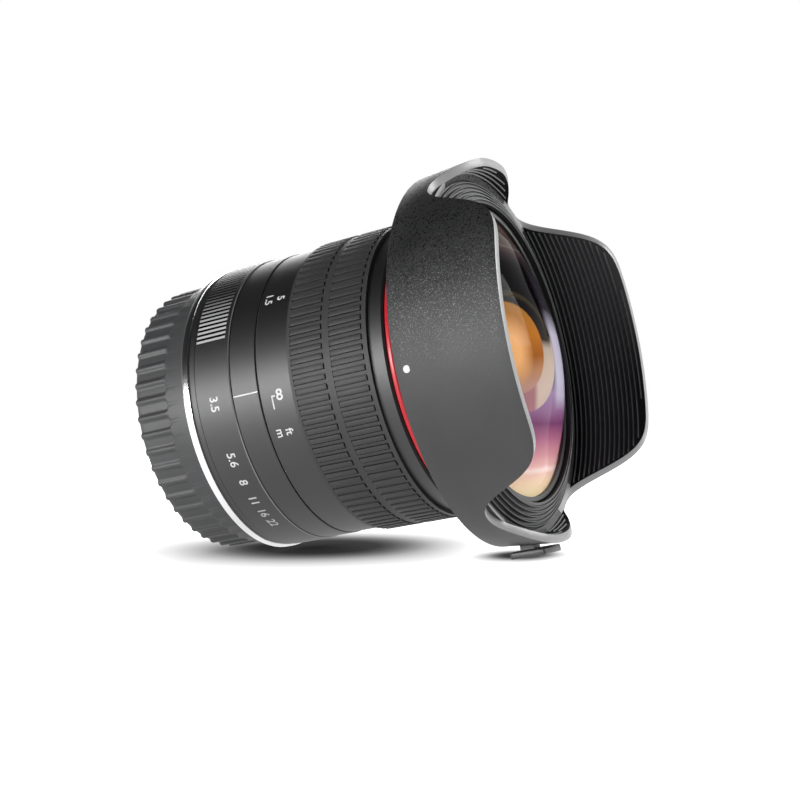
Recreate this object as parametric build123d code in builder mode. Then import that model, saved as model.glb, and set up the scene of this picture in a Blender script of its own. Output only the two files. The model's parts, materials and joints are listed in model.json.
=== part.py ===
"""Fisheye lens with its petal hood and rear cap, in millimetres.

The optical axis is X, pointing forward, and the origin is on it at the mount flange's rear face.
Z points up. Angles round the axis start at the top and grow towards -Y, where the index line is.
"""
import math
import os

from build123d import *

os.makedirs("parts", exist_ok=True)

# Fits and clearances
running_clearance = 0.05
seat_clearance = 0.02
ring_gap = 0.1
open_gap = 0.3
overrun = 5.0

# Lengths along the axis, from the flange's rear face forward
flange_thickness = 1.6
base_band_length = 1.5
aperture_ring_length = 8.6
index_ring_length = 6.3
focus_scale_length = 8.0
grip_length = 18.7
focus_nose_length = 3.5
red_ring_length = 1.2
hood_setback = 4.45

# Walls outwards from the bayonet tube, which the camera's socket sets
mount_tube_radius = 25.4
cell_margin = 1.35
tube_wall = 1.75
sleeve_wall = 1.03
aperture_wall = 2.65
index_wall = 3.5
base_wall = 3.6
flange_overhang = 4.05
focus_scale_wall = 3.3
focus_seat_wall = 2.4
focus_nose_wall = 3.0
grip_thickness = 1.6
hub_wall = 1.4
red_ring_thickness = 1.3
neck_wall = 2.3

# Rubber grip: two rows of bars
grip_bar_count = 96
grip_bar_length = 7.7
grip_bar_width = 1.45
grip_bar_height = 0.5
grip_rear_margin = 0.7
grip_front_margin = 1.0

# Aperture ring: knurling, travel and detent
aperture_travel = 55.4
knurl_pitch_angle = 2.0
knurl_groove_width = 0.55
knurl_groove_depth = 0.5
knurl_end_margin = 1.0
knurl_sectors = ((-66, 66), (-175, -96))
drive_pin_radius = 0.8
drive_pin_angle = 0
drive_pin_seat_depth = 1.9
window_margin_angle = 4.0
detent_ball_radius = 0.55
detent_angle = 180
detent_groove_depth = 0.25

# Focus drive: pins through the main tube
focus_travel = 120
focus_slide = 0.3
cam_pin_radius = 1.0
cam_pin_seat_depth = 1.6
cam_pin_angles = (20, 200)
cam_setback = 2.0
guide_pin_radius = 1.1
guide_pin_angle = 170
guide_setback = 1.7
pin_reach = 1.1
tube_front_reach = 2.15
focus_relief_depth = 0.6
focus_land_length = 5.0

# Mount flange and its bayonet
mount_tube_wall = 1.6
mount_tube_length = 4.4
lug_reach = 1.8
lug_thickness = 1.6
lug_setback = 2.0
lug_count = 3
lug_sweep = 50
mount_screw_count = 4
mount_screw_radius = 0.6
mount_screw_head_radius = 1.1
mount_screw_length = 5.0
baffle_wall = 1.2
baffle_length = 3.2
baffle_lip = 6.78

# Rear cap
cap_length = 13.9
cap_gap = 1.2
cap_wall = 1.9
cap_base_thickness = 1.8
cap_rib_count = 50
cap_groove_radius = 1.0
cap_groove_depth = 0.75
cap_groove_length = 8.6
cap_lug_thickness = 1.4
cap_taper = 0.3

# Front barrel, the bell that carries the hood
bell_flare = 7.13
bell_wall = 2.4
bell_inner_wall = 1.6
bell_cone_length = 4.1
bell_neck_length = 1.05
bell_length = 11.05
bell_floor = 2.2
bell_core_setback = 3.35
hood_lug_count = 3
hood_lug_sweep = 40
hood_lug_height = 1.0
hood_lug_length = 1.4
hood_lug_setback = 1.9
hood_lug_clearance = 0.15
hood_turn = 60
set_screw_count = 3
set_screw_radius = 0.58
set_screw_setback = 0.75
set_screw_turn = 30

# Stepped ring round the glass
step_count = 5
step_setback = 0.4
step_drop = 0.45
step_rise = 2.5

# Petal hood
hood_band_length = 5.9
long_petal_length = 18.4
short_petal_length = 6.05
hood_rear_wall = 2.62
hood_flare = 2.03
hood_wall = 1.8
hood_inner_lip = 0.5
flank_middle_angle = 45
flank_shoulder_angle = 54.6
flank_foot_angle = 39.4
valley_angle = 33
short_petal_foot_angle = 30.3
short_petal_shoulder_angle = 12.8
petal_shoulder_fillet = 8.0
petal_valley_fillet = 4.0
short_petal_fillet = 14.0
dot_radius = 0.78
dot_depth = 0.4
dot_setback = 2.45
dot_angle = 94.5

# Release button under the hood
button_travel = 2.5
button_pad_length = 8.0
button_pad_width = 10.0
button_pad_thickness = 1.7
button_pad_drop = 0.9
button_pad_corner = 1.2
button_pad_setback = 1.9
button_neck_length = 3.0
button_neck_width = 4.0
button_neck_inset = 1.4
button_plate_length = 5.0
button_plate_width = 6.8
button_plate_thickness = 0.8
button_plate_inset = 0.4

# Glass, each element by its edge, its two faces and their apexes
front_glass_lip = 0.5
front_glass_seat = 12.5
front_glass_rim_length = 1.6
front_glass_bulge = 9.2
front_glass_hollow = 8.3
second_glass_margin = 2.5
second_glass_lip = 2.2
second_glass_seat = 5.0
second_glass_rim_length = 2.5
second_glass_bulge = 7.0
second_glass_hollow = 6.9
third_glass_margin = 0.7
third_glass_lip = 1.4
third_glass_rim_length = 4.0
third_glass_hollow = 1.2
pair_margin = 1.2
pair_lip = 0.8
pair_front_rim_length = 1.6
pair_rear_rim_length = 2.4
pair_bulge = 1.4
pair_joint_bulge = 2.0
pair_back_bulge = 1.2
rear_glass_margin = 1.5
rear_glass_lip = 1.5
rear_glass_rim_length = 2.2
rear_glass_bulge = 1.5

# Lens cells
cup_clearance = 0.27
cup_wall = 0.8
cup_setback = 0.8
cup_overlap = 0.2
cup_length = 8.65
cup_widening = 4.0
cam_margin = 1.95
spacer_wall = 1.3
retainer_length = 1.4
retainer_wall = 1.9
bezel_length = 0.75
bezel_lip = 0.3
element_gap = 3.9
rear_cell_wall = 2.0
rear_cell_length = 26.0
rear_flange_margin = 0.7
rear_flange_thickness = 2.5
rear_stop_length = 3.0
rear_stop_lip = 0.5
pair_ring_length = 2.0
rear_element_inset = 3.6
cell_screw_radius = 0.8
cell_screw_angles = (90, 170, 250)
cell_screw_length = 12.0
cell_screw_head_radius = 1.4
cell_screw_head_length = 0.9

# Iris
iris_blade_count = 6
iris_blade_thickness = 0.2
iris_level_pitch = 0.4
iris_blade_swing = 32.3
iris_blade_width = 4.4
iris_blade_sweep = 95
iris_pivot_margin = 0.8
iris_pivot_radius = 0.5
iris_pivot_seat = 1.25
iris_actuator_arm = 1.7
iris_actuator_margin = 2.5
iris_actuator_radius = 0.45
iris_head_radius = 1.3
iris_plate_thickness = 1.2
iris_housing_wall = 4.5
iris_housing_gap = 0.4
iris_ring_margin = 0.7
iris_ring_thickness = 1.4
iris_slot_margin = 0.1
iris_arm_width = 4.0
iris_arm_thickness = 1.2
iris_arm_gap = 1.0

# Stations along the axis
flange_front = flange_thickness
base_front = flange_front + base_band_length
aperture_rear = base_front + ring_gap
aperture_front = aperture_rear + aperture_ring_length
index_rear = aperture_front + ring_gap
index_front = index_rear + index_ring_length
focus_rear = index_front + ring_gap
grip_rear = focus_rear + focus_scale_length
grip_front = grip_rear + grip_length
focus_front = grip_front + focus_nose_length
red_rear = focus_front + ring_gap
red_front = red_rear + red_ring_length
bell_front = red_front + bell_length
hood_rear = red_front + hood_setback
petal_valley = hood_rear + hood_band_length
hood_front = petal_valley + long_petal_length
tube_front = red_front + tube_front_reach
cam_place = focus_front - cam_setback

# Radii, worked outwards
cell_radius = mount_tube_radius + cell_margin
tube_bore = cell_radius + running_clearance
tube_radius = tube_bore + tube_wall
sleeve_bore = tube_radius + seat_clearance
sleeve_radius = sleeve_bore + sleeve_wall
aperture_bore = sleeve_radius + running_clearance
aperture_radius = aperture_bore + aperture_wall
index_radius = sleeve_bore + index_wall
base_radius = sleeve_bore + base_wall
flange_radius = tube_radius + flange_overhang
focus_bore = tube_radius + running_clearance
focus_scale_radius = focus_bore + focus_scale_wall
grip_seat_radius = focus_bore + focus_seat_wall
grip_radius = grip_seat_radius + grip_thickness
focus_nose_radius = focus_bore + focus_nose_wall
hub_radius = sleeve_bore + hub_wall
neck_radius = sleeve_bore + neck_wall
bell_radius = neck_radius + bell_flare
hood_bore = bell_radius + running_clearance
hood_rear_radius = hood_bore + hood_rear_wall
hood_front_radius = hood_rear_radius + hood_flare
screw_circle = (tube_bore + tube_radius) / 2

# Radii of the glass, worked inwards from the barrel
cup_radius = sleeve_bore - cup_clearance
wide_cup_radius = cup_radius + cup_widening
front_glass_edge = wide_cup_radius - cup_wall
front_glass_reach = front_glass_edge - front_glass_lip
front_glass_back_reach = front_glass_edge - front_glass_seat
second_glass_edge = front_glass_back_reach - second_glass_margin
second_glass_reach = second_glass_edge - second_glass_lip
second_glass_back_reach = second_glass_edge - second_glass_seat
third_glass_edge = second_glass_back_reach + third_glass_margin
third_glass_reach = third_glass_edge - third_glass_lip
pair_edge = third_glass_edge - pair_margin
pair_reach = pair_edge - pair_lip
rear_glass_edge = pair_edge + rear_glass_margin
rear_glass_reach = rear_glass_edge - rear_glass_lip

# Radii of the iris, worked inwards from the main tube
iris_arm_outer = tube_bore - iris_arm_gap
arm_inner = iris_arm_outer - iris_arm_thickness
iris_housing_radius = arm_inner - iris_housing_gap
iris_housing_bore = iris_housing_radius - iris_housing_wall
iris_actuator_circle = iris_housing_bore - iris_actuator_margin
iris_pivot_circle = iris_actuator_circle - iris_actuator_arm
iris_ring_inner = iris_pivot_circle - iris_ring_margin
blade_outer = iris_pivot_circle - iris_pivot_margin
iris_opening = blade_outer - iris_blade_width
cell_screw_circle = (iris_housing_bore + iris_housing_radius) / 2


def around(angle):
    """Direction away from the axis at one angle, which starts at the top."""
    return (0, -math.sin(math.radians(angle)), math.cos(math.radians(angle)))


def profile_plane(angle):
    """Plane through the axis whose second direction points outwards at one angle."""
    outwards = Vector(*around(angle))
    return Plane(origin=(0, 0, 0), x_dir=(1, 0, 0), z_dir=Vector(1, 0, 0).cross(outwards))


def radial_plane(place, angle, radius):
    """Plane square to a radius, at one place on the axis and one distance from it."""
    outwards = Vector(*around(angle))
    origin = Vector(place, 0, 0) + outwards * radius
    return Plane(origin=origin, x_dir=(1, 0, 0), z_dir=outwards)


def band(start, end, inner, outer):
    """Rectangle of a turned profile, between two places and two radii."""
    with Locations(((start + end) / 2, (inner + outer) / 2)):
        Rectangle(end - start, outer - inner)


def outline(*points):
    """Straight-sided face through the points."""
    with BuildLine() as edge:
        Polyline(*points, close=True)
    make_face(edge.edges())


def sector(start, end, inner, outer, first_angle, sweep, mode=Mode.ADD):
    """Part of a ring, from its first angle through its sweep."""
    with BuildSketch(profile_plane(first_angle)) as section:
        band(start, end, inner, outer)
    revolve(section.sketch, axis=Axis.X, revolution_arc=sweep, mode=mode)


def radial_rod(place, angle, inner, outer, radius, mode=Mode.ADD):
    """Round rod that points away from the axis."""
    with BuildSketch(radial_plane(place, angle, inner)) as section:
        Circle(radius)
    extrude(section.sketch, amount=outer - inner, mode=mode)


def axial_rods(start, end, circle, radius, angles, mode=Mode.ADD):
    """Round rods along the axis, one at each angle."""
    with BuildSketch(Plane.YZ.offset(start)) as section:
        for angle in angles:
            with Locations((around(angle)[1] * circle, around(angle)[2] * circle)):
                Circle(radius)
    extrude(section.sketch, amount=end - start, mode=mode)


def spaced(count, turn=0):
    """Angles of equal places round the axis."""
    return [turn + 360 * place / count for place in range(count)]


def face_place(apex, rim, reach, radius):
    """Place along the axis of a spherical face, at one distance from the axis."""
    sag = abs(apex - rim)
    sphere = (reach**2 + sag**2) / (2 * sag)
    drop = sphere - math.sqrt(sphere**2 - radius**2)
    return apex - math.copysign(drop, apex - rim)


def element(front_apex, front_rim, front_reach, back_apex, back_rim, back_reach, edge):
    """Turned profile of a lens element with two spherical faces and flat rims."""
    front_middle = (face_place(front_apex, front_rim, front_reach, front_reach / 2), front_reach / 2)
    back_middle = (face_place(back_apex, back_rim, back_reach, back_reach / 2), back_reach / 2)
    with BuildLine() as wire:
        ThreePointArc((front_apex, 0), front_middle, (front_rim, front_reach))
        Line((front_rim, front_reach), (front_rim, edge))
        Line((front_rim, edge), (back_rim, edge))
        Line((back_rim, edge), (back_rim, back_reach))
        ThreePointArc((back_rim, back_reach), back_middle, (back_apex, 0))
        Line((back_apex, 0), (front_apex, 0))
    make_face(wire.edges())


# Mount flange: bright plate, bayonet tube and three lugs
lug_front = -lug_setback
lug_rear = lug_front - lug_thickness
lug_radius = mount_tube_radius + lug_reach
mount_tube_bore = mount_tube_radius - mount_tube_wall
mount_screw_angles = spaced(mount_screw_count, 360 / mount_screw_count / 2)
with BuildPart() as mount_flange:
    with BuildSketch():
        band(0, flange_front, mount_tube_bore, flange_radius)
        band(-mount_tube_length, 0, mount_tube_bore, mount_tube_radius)
    revolve(axis=Axis.X)
    for lug_angle in spaced(lug_count):
        lug_start = lug_angle - lug_sweep / 2
        sector(lug_rear, lug_front, mount_tube_bore, lug_radius, lug_start, lug_sweep)
    mount_hole = mount_screw_radius + seat_clearance
    axial_rods(0, flange_front, screw_circle, mount_hole, mount_screw_angles, Mode.SUBTRACT)
    head_hole = mount_screw_head_radius + seat_clearance
    head_floor = flange_front / 2 + seat_clearance
    axial_rods(0, head_floor, screw_circle, head_hole, mount_screw_angles, Mode.SUBTRACT)
mount_flange.part.label = "mount_flange"
export_step(mount_flange.part, "parts/mount_flange.step")

with BuildPart() as mount_screws:
    axial_rods(0, mount_screw_length, screw_circle, mount_screw_radius, mount_screw_angles)
    axial_rods(0, flange_front / 2, screw_circle, mount_screw_head_radius, mount_screw_angles)
mount_screws.part.label = "mount_screws"
export_step(mount_screws.part, "parts/mount_screws.step")

# Rear light baffle: a thin cup that narrows the back opening
baffle_radius = mount_tube_bore - seat_clearance
with BuildPart() as rear_baffle:
    with BuildSketch():
        band(-baffle_length, 0, baffle_radius - baffle_wall, baffle_radius)
        band(-baffle_length, baffle_wall - baffle_length, baffle_radius - baffle_lip, baffle_radius)
    revolve(axis=Axis.X)
rear_baffle.part.label = "rear_baffle"
export_step(rear_baffle.part, "parts/rear_baffle.step")

# Base ring: fixed band behind the aperture ring and the sleeve that the ring turns on
drive_pin_place = (aperture_rear + aperture_front) / 2
window_half = drive_pin_radius + open_gap
window_start = drive_pin_angle - aperture_travel - window_margin_angle
window_sweep = aperture_travel + 2 * window_margin_angle
with BuildPart() as base_ring:
    with BuildSketch():
        band(flange_front, base_front, sleeve_bore, base_radius)
        band(flange_front, index_rear, sleeve_bore, sleeve_radius)
    revolve(axis=Axis.X)
    sector(
        drive_pin_place - window_half, drive_pin_place + window_half,
        sleeve_bore - sleeve_wall, sleeve_radius + sleeve_wall,
        window_start, window_sweep, Mode.SUBTRACT,
    )
    detent_hole = detent_ball_radius + running_clearance
    radial_rod(
        drive_pin_place, detent_angle, sleeve_bore - sleeve_wall, sleeve_radius + sleeve_wall,
        detent_hole, Mode.SUBTRACT,
    )
base_ring.part.label = "base_ring"
export_step(base_ring.part, "parts/base_ring.step")

# Click ball, which rests on the main tube inside its hole in the sleeve
detent_circle = tube_radius + seat_clearance + detent_ball_radius
with BuildPart() as click_ball:
    with Locations(Vector(*around(detent_angle)) * detent_circle + Vector(drive_pin_place, 0, 0)):
        Sphere(detent_ball_radius)
click_ball.part.label = "click_ball"
export_step(click_ball.part, "parts/click_ball.step")

# Aperture ring: two knurled grips and the click groove inside
knurl_start = aperture_rear
knurl_end = aperture_front - knurl_end_margin
detent_groove_half = detent_ball_radius + running_clearance
with BuildPart() as aperture_ring:
    with BuildSketch():
        band(aperture_rear, aperture_front, aperture_bore, aperture_radius)
    revolve(axis=Axis.X)
    with BuildSketch(Plane.YZ.offset(knurl_start)) as grooves:
        for first, last in knurl_sectors:
            steps = int((last - first) / knurl_pitch_angle)
            for step in range(steps + 1):
                groove_angle = first + step * knurl_pitch_angle
                middle = Vector(*around(groove_angle)) * aperture_radius
                with Locations(Location((middle.Y, middle.Z), groove_angle)):
                    Rectangle(knurl_groove_width, 2 * knurl_groove_depth)
    extrude(amount=knurl_end - knurl_start, mode=Mode.SUBTRACT)
    with BuildSketch():
        band(
            drive_pin_place - detent_groove_half, drive_pin_place + detent_groove_half,
            aperture_bore - sleeve_wall / 2, aperture_bore + detent_groove_depth,
        )
    revolve(axis=Axis.X, mode=Mode.SUBTRACT)
    radial_rod(
        drive_pin_place, drive_pin_angle, aperture_bore - sleeve_wall / 2,
        aperture_bore + drive_pin_seat_depth + seat_clearance,
        drive_pin_radius + seat_clearance, Mode.SUBTRACT,
    )
aperture_ring.part.label = "aperture_ring"
export_step(aperture_ring.part, "parts/aperture_ring.step")

# Drive pin, which carries the ring's turn inwards to the iris arm
with BuildPart() as aperture_drive_pin:
    radial_rod(
        drive_pin_place, drive_pin_angle, arm_inner,
        aperture_bore + drive_pin_seat_depth, drive_pin_radius,
    )
aperture_drive_pin.part.label = "aperture_drive_pin"
export_step(aperture_drive_pin.part, "parts/aperture_drive_pin.step")

# Index ring, fixed between the two turning rings
with BuildPart() as index_ring:
    with BuildSketch():
        band(index_rear, index_front, sleeve_bore, index_radius)
    revolve(axis=Axis.X)
index_ring.part.label = "index_ring"
export_step(index_ring.part, "parts/index_ring.step")

# Main tube, which carries every ring, with windows for the pins that pass through it
guide_place = tube_front - guide_setback
set_screw_place = red_front + set_screw_setback
cam_window_half = cam_pin_radius + running_clearance
cam_window_margin = math.degrees((cam_pin_radius + open_gap) / tube_radius)
set_screw_angles = spaced(set_screw_count, set_screw_turn)
set_screw_tip = tube_bore + tube_wall / 4
tube_through = tube_radius + tube_wall
with BuildPart() as main_tube:
    with BuildSketch():
        band(flange_front, tube_front, tube_bore, tube_radius)
    revolve(axis=Axis.X)
    sector(
        drive_pin_place - window_half, drive_pin_place + window_half,
        tube_bore - tube_wall, tube_through, window_start, window_sweep, Mode.SUBTRACT,
    )
    for cam_angle in cam_pin_angles:
        sector(
            cam_place - cam_window_half, cam_place + cam_window_half,
            tube_bore - tube_wall, tube_through,
            cam_angle - cam_window_margin, focus_travel + 2 * cam_window_margin, Mode.SUBTRACT,
        )
    radial_rod(
        guide_place, guide_pin_angle, tube_bore - tube_wall, tube_through,
        guide_pin_radius + seat_clearance, Mode.SUBTRACT,
    )
    for screw_angle in set_screw_angles:
        radial_rod(
            set_screw_place, screw_angle, set_screw_tip - seat_clearance, tube_through,
            set_screw_radius + seat_clearance, Mode.SUBTRACT,
        )
    axial_rods(
        flange_front, mount_screw_length + seat_clearance, screw_circle,
        mount_screw_radius + seat_clearance, mount_screw_angles, Mode.SUBTRACT,
    )
main_tube.part.label = "main_tube"
export_step(main_tube.part, "parts/main_tube.step")

# Guide pin, which stops the optical cell from turning
with BuildPart() as guide_pin:
    radial_rod(guide_place, guide_pin_angle, cell_radius - pin_reach, tube_radius, guide_pin_radius)
guide_pin.part.label = "guide_pin"
export_step(guide_pin.part, "parts/guide_pin.step")

# Focus ring: scale band, seat for the rubber, smooth nose and a relieved bore
relief_rear = focus_rear + focus_land_length
relief_front = cam_place - focus_land_length
with BuildPart() as focus_ring:
    with BuildSketch():
        band(focus_rear, grip_rear, focus_bore, focus_scale_radius)
        band(grip_rear, grip_front, focus_bore, grip_seat_radius)
        band(grip_front, focus_front, focus_bore, focus_nose_radius)
    revolve(axis=Axis.X)
    with BuildSketch():
        band(relief_rear, relief_front, focus_bore - focus_relief_depth, focus_bore + focus_relief_depth)
    revolve(axis=Axis.X, mode=Mode.SUBTRACT)
    for cam_angle in cam_pin_angles:
        radial_rod(
            cam_place, cam_angle, tube_radius - focus_relief_depth,
            focus_bore + cam_pin_seat_depth + seat_clearance,
            cam_pin_radius + seat_clearance, Mode.SUBTRACT,
        )
focus_ring.part.label = "focus_ring"
export_step(focus_ring.part, "parts/focus_ring.step")

with BuildPart() as focus_cam_pins:
    for cam_angle in cam_pin_angles:
        radial_rod(
            cam_place, cam_angle, cell_radius - pin_reach,
            focus_bore + cam_pin_seat_depth, cam_pin_radius,
        )
focus_cam_pins.part.label = "focus_cam_pins"
export_step(focus_cam_pins.part, "parts/focus_cam_pins.step")

# Rubber grip: a sleeve with two rows of raised bars
grip_base_radius = grip_radius - grip_bar_height
bar_starts = (grip_rear + grip_rear_margin, grip_front - grip_front_margin - grip_bar_length)
with BuildPart() as focus_grip:
    with BuildSketch():
        band(grip_rear, grip_front, grip_seat_radius, grip_base_radius)
        band(grip_rear, bar_starts[0], grip_seat_radius, grip_radius)
        band(grip_front - grip_front_margin, grip_front, grip_seat_radius, grip_radius)
        band(bar_starts[0] + grip_bar_length, bar_starts[1], grip_seat_radius, grip_radius)
    revolve(axis=Axis.X)
    for bar_start in bar_starts:
        with BuildSketch(Plane.YZ.offset(bar_start)) as bars:
            Circle(grip_radius)
            Circle(grip_base_radius, mode=Mode.SUBTRACT)
            groove_width = 2 * math.pi * grip_radius / grip_bar_count - grip_bar_width
            with PolarLocations(grip_radius, grip_bar_count):
                Rectangle(2 * grip_thickness, groove_width, mode=Mode.SUBTRACT)
        extrude(amount=grip_bar_length)
focus_grip.part.label = "focus_grip"
export_step(focus_grip.part, "parts/focus_grip.step")

# Red trim ring on the front barrel's hub
with BuildPart() as red_ring:
    with BuildSketch():
        band(red_rear, red_front, hub_radius + seat_clearance, hub_radius + red_ring_thickness)
    revolve(axis=Axis.X)
red_ring.part.label = "red_ring"
export_step(red_ring.part, "parts/red_ring.step")

# Front barrel: hub, flared bell and the hood's bayonet groove with its three ways in
cone_start = red_front + bell_neck_length
cone_end = cone_start + bell_cone_length
bell_inner = bell_radius - bell_wall
bell_core = sleeve_bore + bell_inner_wall
pocket_floor = red_front + bell_floor
pocket_turn = pocket_floor + bell_cone_length
bell_core_front = bell_front - bell_core_setback
hood_lug_rear = hood_rear + hood_lug_setback
hood_lug_front = hood_lug_rear + hood_lug_length
groove_floor = hood_bore - hood_lug_height - hood_lug_clearance
way_in_sweep = hood_lug_sweep + window_margin_angle
with BuildPart() as front_barrel:
    with BuildSketch():
        outline(
            (red_rear, sleeve_bore),
            (red_rear, hub_radius),
            (red_front, hub_radius),
            (red_front, neck_radius),
            (cone_start, neck_radius),
            (cone_end, bell_radius),
            (bell_front, bell_radius),
            (bell_front, bell_inner),
            (pocket_turn, bell_inner),
            (pocket_floor, bell_core),
            (bell_core_front, bell_core),
            (bell_core_front, sleeve_bore),
        )
    revolve(axis=Axis.X)
    with BuildSketch():
        band(
            hood_lug_rear - hood_lug_clearance, hood_lug_front + hood_lug_clearance,
            groove_floor, bell_radius + overrun,
        )
    revolve(axis=Axis.X, mode=Mode.SUBTRACT)
    for way_in in spaced(hood_lug_count, hood_turn):
        sector(
            hood_lug_front, bell_front + overrun, groove_floor, bell_radius + overrun,
            way_in - way_in_sweep / 2, way_in_sweep, Mode.SUBTRACT,
        )
    for screw_angle in set_screw_angles:
        radial_rod(
            set_screw_place, screw_angle, sleeve_bore - hub_wall, neck_radius + overrun,
            set_screw_radius + seat_clearance, Mode.SUBTRACT,
        )
front_barrel.part.label = "front_barrel"
export_step(front_barrel.part, "parts/front_barrel.step")

with BuildPart() as barrel_set_screws:
    for screw_angle in set_screw_angles:
        radial_rod(set_screw_place, screw_angle, set_screw_tip, neck_radius, set_screw_radius)
barrel_set_screws.part.label = "barrel_set_screws"
export_step(barrel_set_screws.part, "parts/barrel_set_screws.step")

# Stepped ring round the glass: terraces that fall away outwards
step_inner_radius = wide_cup_radius + open_gap
step_outer_radius = bell_radius - step_setback
step_width = (step_outer_radius - step_inner_radius) / step_count
with BuildPart() as stepped_ring:
    with BuildSketch():
        for step in range(step_count):
            step_top = bell_front + step_rise - step * step_drop
            inner = step_inner_radius + step * step_width
            band(bell_front, step_top, inner, inner + step_width)
    revolve(axis=Axis.X)
stepped_ring.part.label = "stepped_ring"
export_step(stepped_ring.part, "parts/stepped_ring.step")

# Petal hood: a slightly flared shell, cut through sideways to leave two long and two short petals
hood_angle_share = hood_flare / (hood_front - hood_rear)
inner_start = bell_front + hood_inner_lip
inner_start_radius = hood_rear_radius + hood_angle_share * (inner_start - hood_rear) - hood_wall
short_petal_front = petal_valley + short_petal_length
rim_front = hood_front + overrun
rim_cut_base = (hood_rear_radius - 2 * hood_wall) * math.cos(math.radians(valley_angle))
rim_cut_top = hood_front_radius + overrun
button_rear = hood_rear + button_pad_setback
neck_rear = button_rear + button_neck_inset
neck_front = neck_rear + button_neck_length
plate_rear = neck_rear - button_plate_inset
plate_front = plate_rear + button_plate_length
plate_top = bell_radius + open_gap
plate_bottom = plate_top + button_plate_thickness


def hood_surface(place):
    """Outer radius of the hood at one place on the axis."""
    return hood_rear_radius + hood_angle_share * (place - hood_rear)


def rim_reach(angle):
    """Distance round the hood's rim to one angle, seen square to the wall."""
    return hood_front_radius * math.sin(math.radians(angle))


def round_corners(sketch, place, distance, rounding):
    """Fillets the corners of a sketch at one place along the axis and one distance to either side."""
    corners = sketch.vertices().filter_by(
        lambda corner: abs(corner.X - place) < ring_gap and abs(abs(corner.Y) - distance) < ring_gap
    )
    fillet(corners, rounding)


def flank_cut(middle_angle, side):
    """Block that cuts one flank of a long petal, on one side of a short petal's middle."""
    foot = rim_reach(flank_middle_angle - flank_foot_angle)
    shoulder = rim_reach(flank_shoulder_angle - flank_middle_angle)
    valley = rim_reach(flank_middle_angle - valley_angle)
    flank_end = shoulder + petal_shoulder_fillet
    with BuildSketch(radial_plane(0, middle_angle + side * flank_middle_angle, rim_cut_base)) as rim:
        outline(
            (petal_valley, side * valley),
            (petal_valley, side * foot),
            (hood_front, -side * shoulder),
            (hood_front, -side * flank_end),
            (rim_front, -side * flank_end),
            (rim_front, side * valley),
        )
        round_corners(rim, petal_valley, foot, petal_valley_fillet)
        round_corners(rim, hood_front, shoulder, petal_shoulder_fillet)
    extrude(rim.sketch, amount=rim_cut_top - rim_cut_base)


def short_petal_cut(middle_angle):
    """Block that cuts the front of a short petal."""
    foot = rim_reach(short_petal_foot_angle)
    shoulder = rim_reach(short_petal_shoulder_angle)
    valley = rim_reach(valley_angle)
    with BuildSketch(radial_plane(0, middle_angle, rim_cut_base)) as rim:
        outline(
            (petal_valley, -valley),
            (petal_valley, -foot),
            (short_petal_front, -shoulder),
            (short_petal_front, shoulder),
            (petal_valley, foot),
            (petal_valley, valley),
            (rim_front, valley),
            (rim_front, -valley),
        )
        round_corners(rim, petal_valley, foot, petal_valley_fillet)
        round_corners(rim, short_petal_front, shoulder, short_petal_fillet)
    extrude(rim.sketch, amount=rim_cut_top - rim_cut_base)


def bottom_block(rear, front, width, inner, outer, mode=Mode.ADD):
    """Block under the axis, between two places and two depths."""
    with BuildSketch(radial_plane((rear + front) / 2, 180, inner)) as section:
        Rectangle(front - rear, width)
    extrude(section.sketch, amount=outer - inner, mode=mode)


with BuildPart() as rim_cutter:
    for middle_angle in (0, 180):
        short_petal_cut(middle_angle)
        for side in (-1, 1):
            flank_cut(middle_angle, side)

with BuildPart() as petal_hood:
    with BuildSketch():
        outline(
            (hood_rear, hood_bore),
            (hood_rear, hood_rear_radius),
            (hood_front, hood_front_radius),
            (hood_front, hood_front_radius - hood_wall),
            (inner_start, inner_start_radius),
            (bell_front, hood_bore),
        )
    revolve(axis=Axis.X)
    for lug_angle in spaced(hood_lug_count):
        sector(
            hood_lug_rear, hood_lug_front, hood_bore - hood_lug_height, hood_bore + hood_wall / 2,
            lug_angle - hood_lug_sweep / 2, hood_lug_sweep,
        )
    add(rim_cutter.part, mode=Mode.SUBTRACT)
    bottom_block(
        neck_rear - ring_gap, neck_front + button_travel + ring_gap, button_neck_width + 2 * ring_gap,
        hood_bore - hood_wall, hood_front_radius + overrun, Mode.SUBTRACT,
    )
    bottom_block(
        plate_rear - ring_gap, plate_front + button_travel + ring_gap, button_plate_width + 2 * ring_gap,
        hood_bore - hood_wall, plate_bottom + ring_gap, Mode.SUBTRACT,
    )
    dot_place = hood_rear + dot_setback
    dot_top = hood_surface(dot_place)
    radial_rod(
        dot_place, dot_angle, dot_top - dot_depth, dot_top + overrun,
        dot_radius + seat_clearance, Mode.SUBTRACT,
    )
petal_hood.part.label = "petal_hood"
export_step(petal_hood.part, "parts/petal_hood.step")

with BuildPart() as hood_index_dot:
    radial_rod(dot_place, dot_angle, dot_top - dot_depth, dot_top, dot_radius)
hood_index_dot.part.label = "hood_index_dot"
export_step(hood_index_dot.part, "parts/hood_index_dot.step")

# Release button: flat pad outside, neck through the slot and a plate inside the wall
pad_top = hood_surface(button_rear + button_pad_length) + button_pad_drop / 2
pad_bottom = pad_top + button_pad_thickness
with BuildPart() as hood_release_button:
    with BuildSketch(radial_plane(button_rear + button_pad_length / 2, 180, pad_top)):
        RectangleRounded(button_pad_length, button_pad_width, button_pad_corner)
    extrude(amount=button_pad_thickness)
    bottom_block(neck_rear, neck_front, button_neck_width, plate_top, pad_top)
    bottom_block(plate_rear, plate_front, button_plate_width, plate_top, plate_bottom)
hood_release_button.part.label = "hood_release_button"
export_step(hood_release_button.part, "parts/hood_release_button.step")

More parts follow.
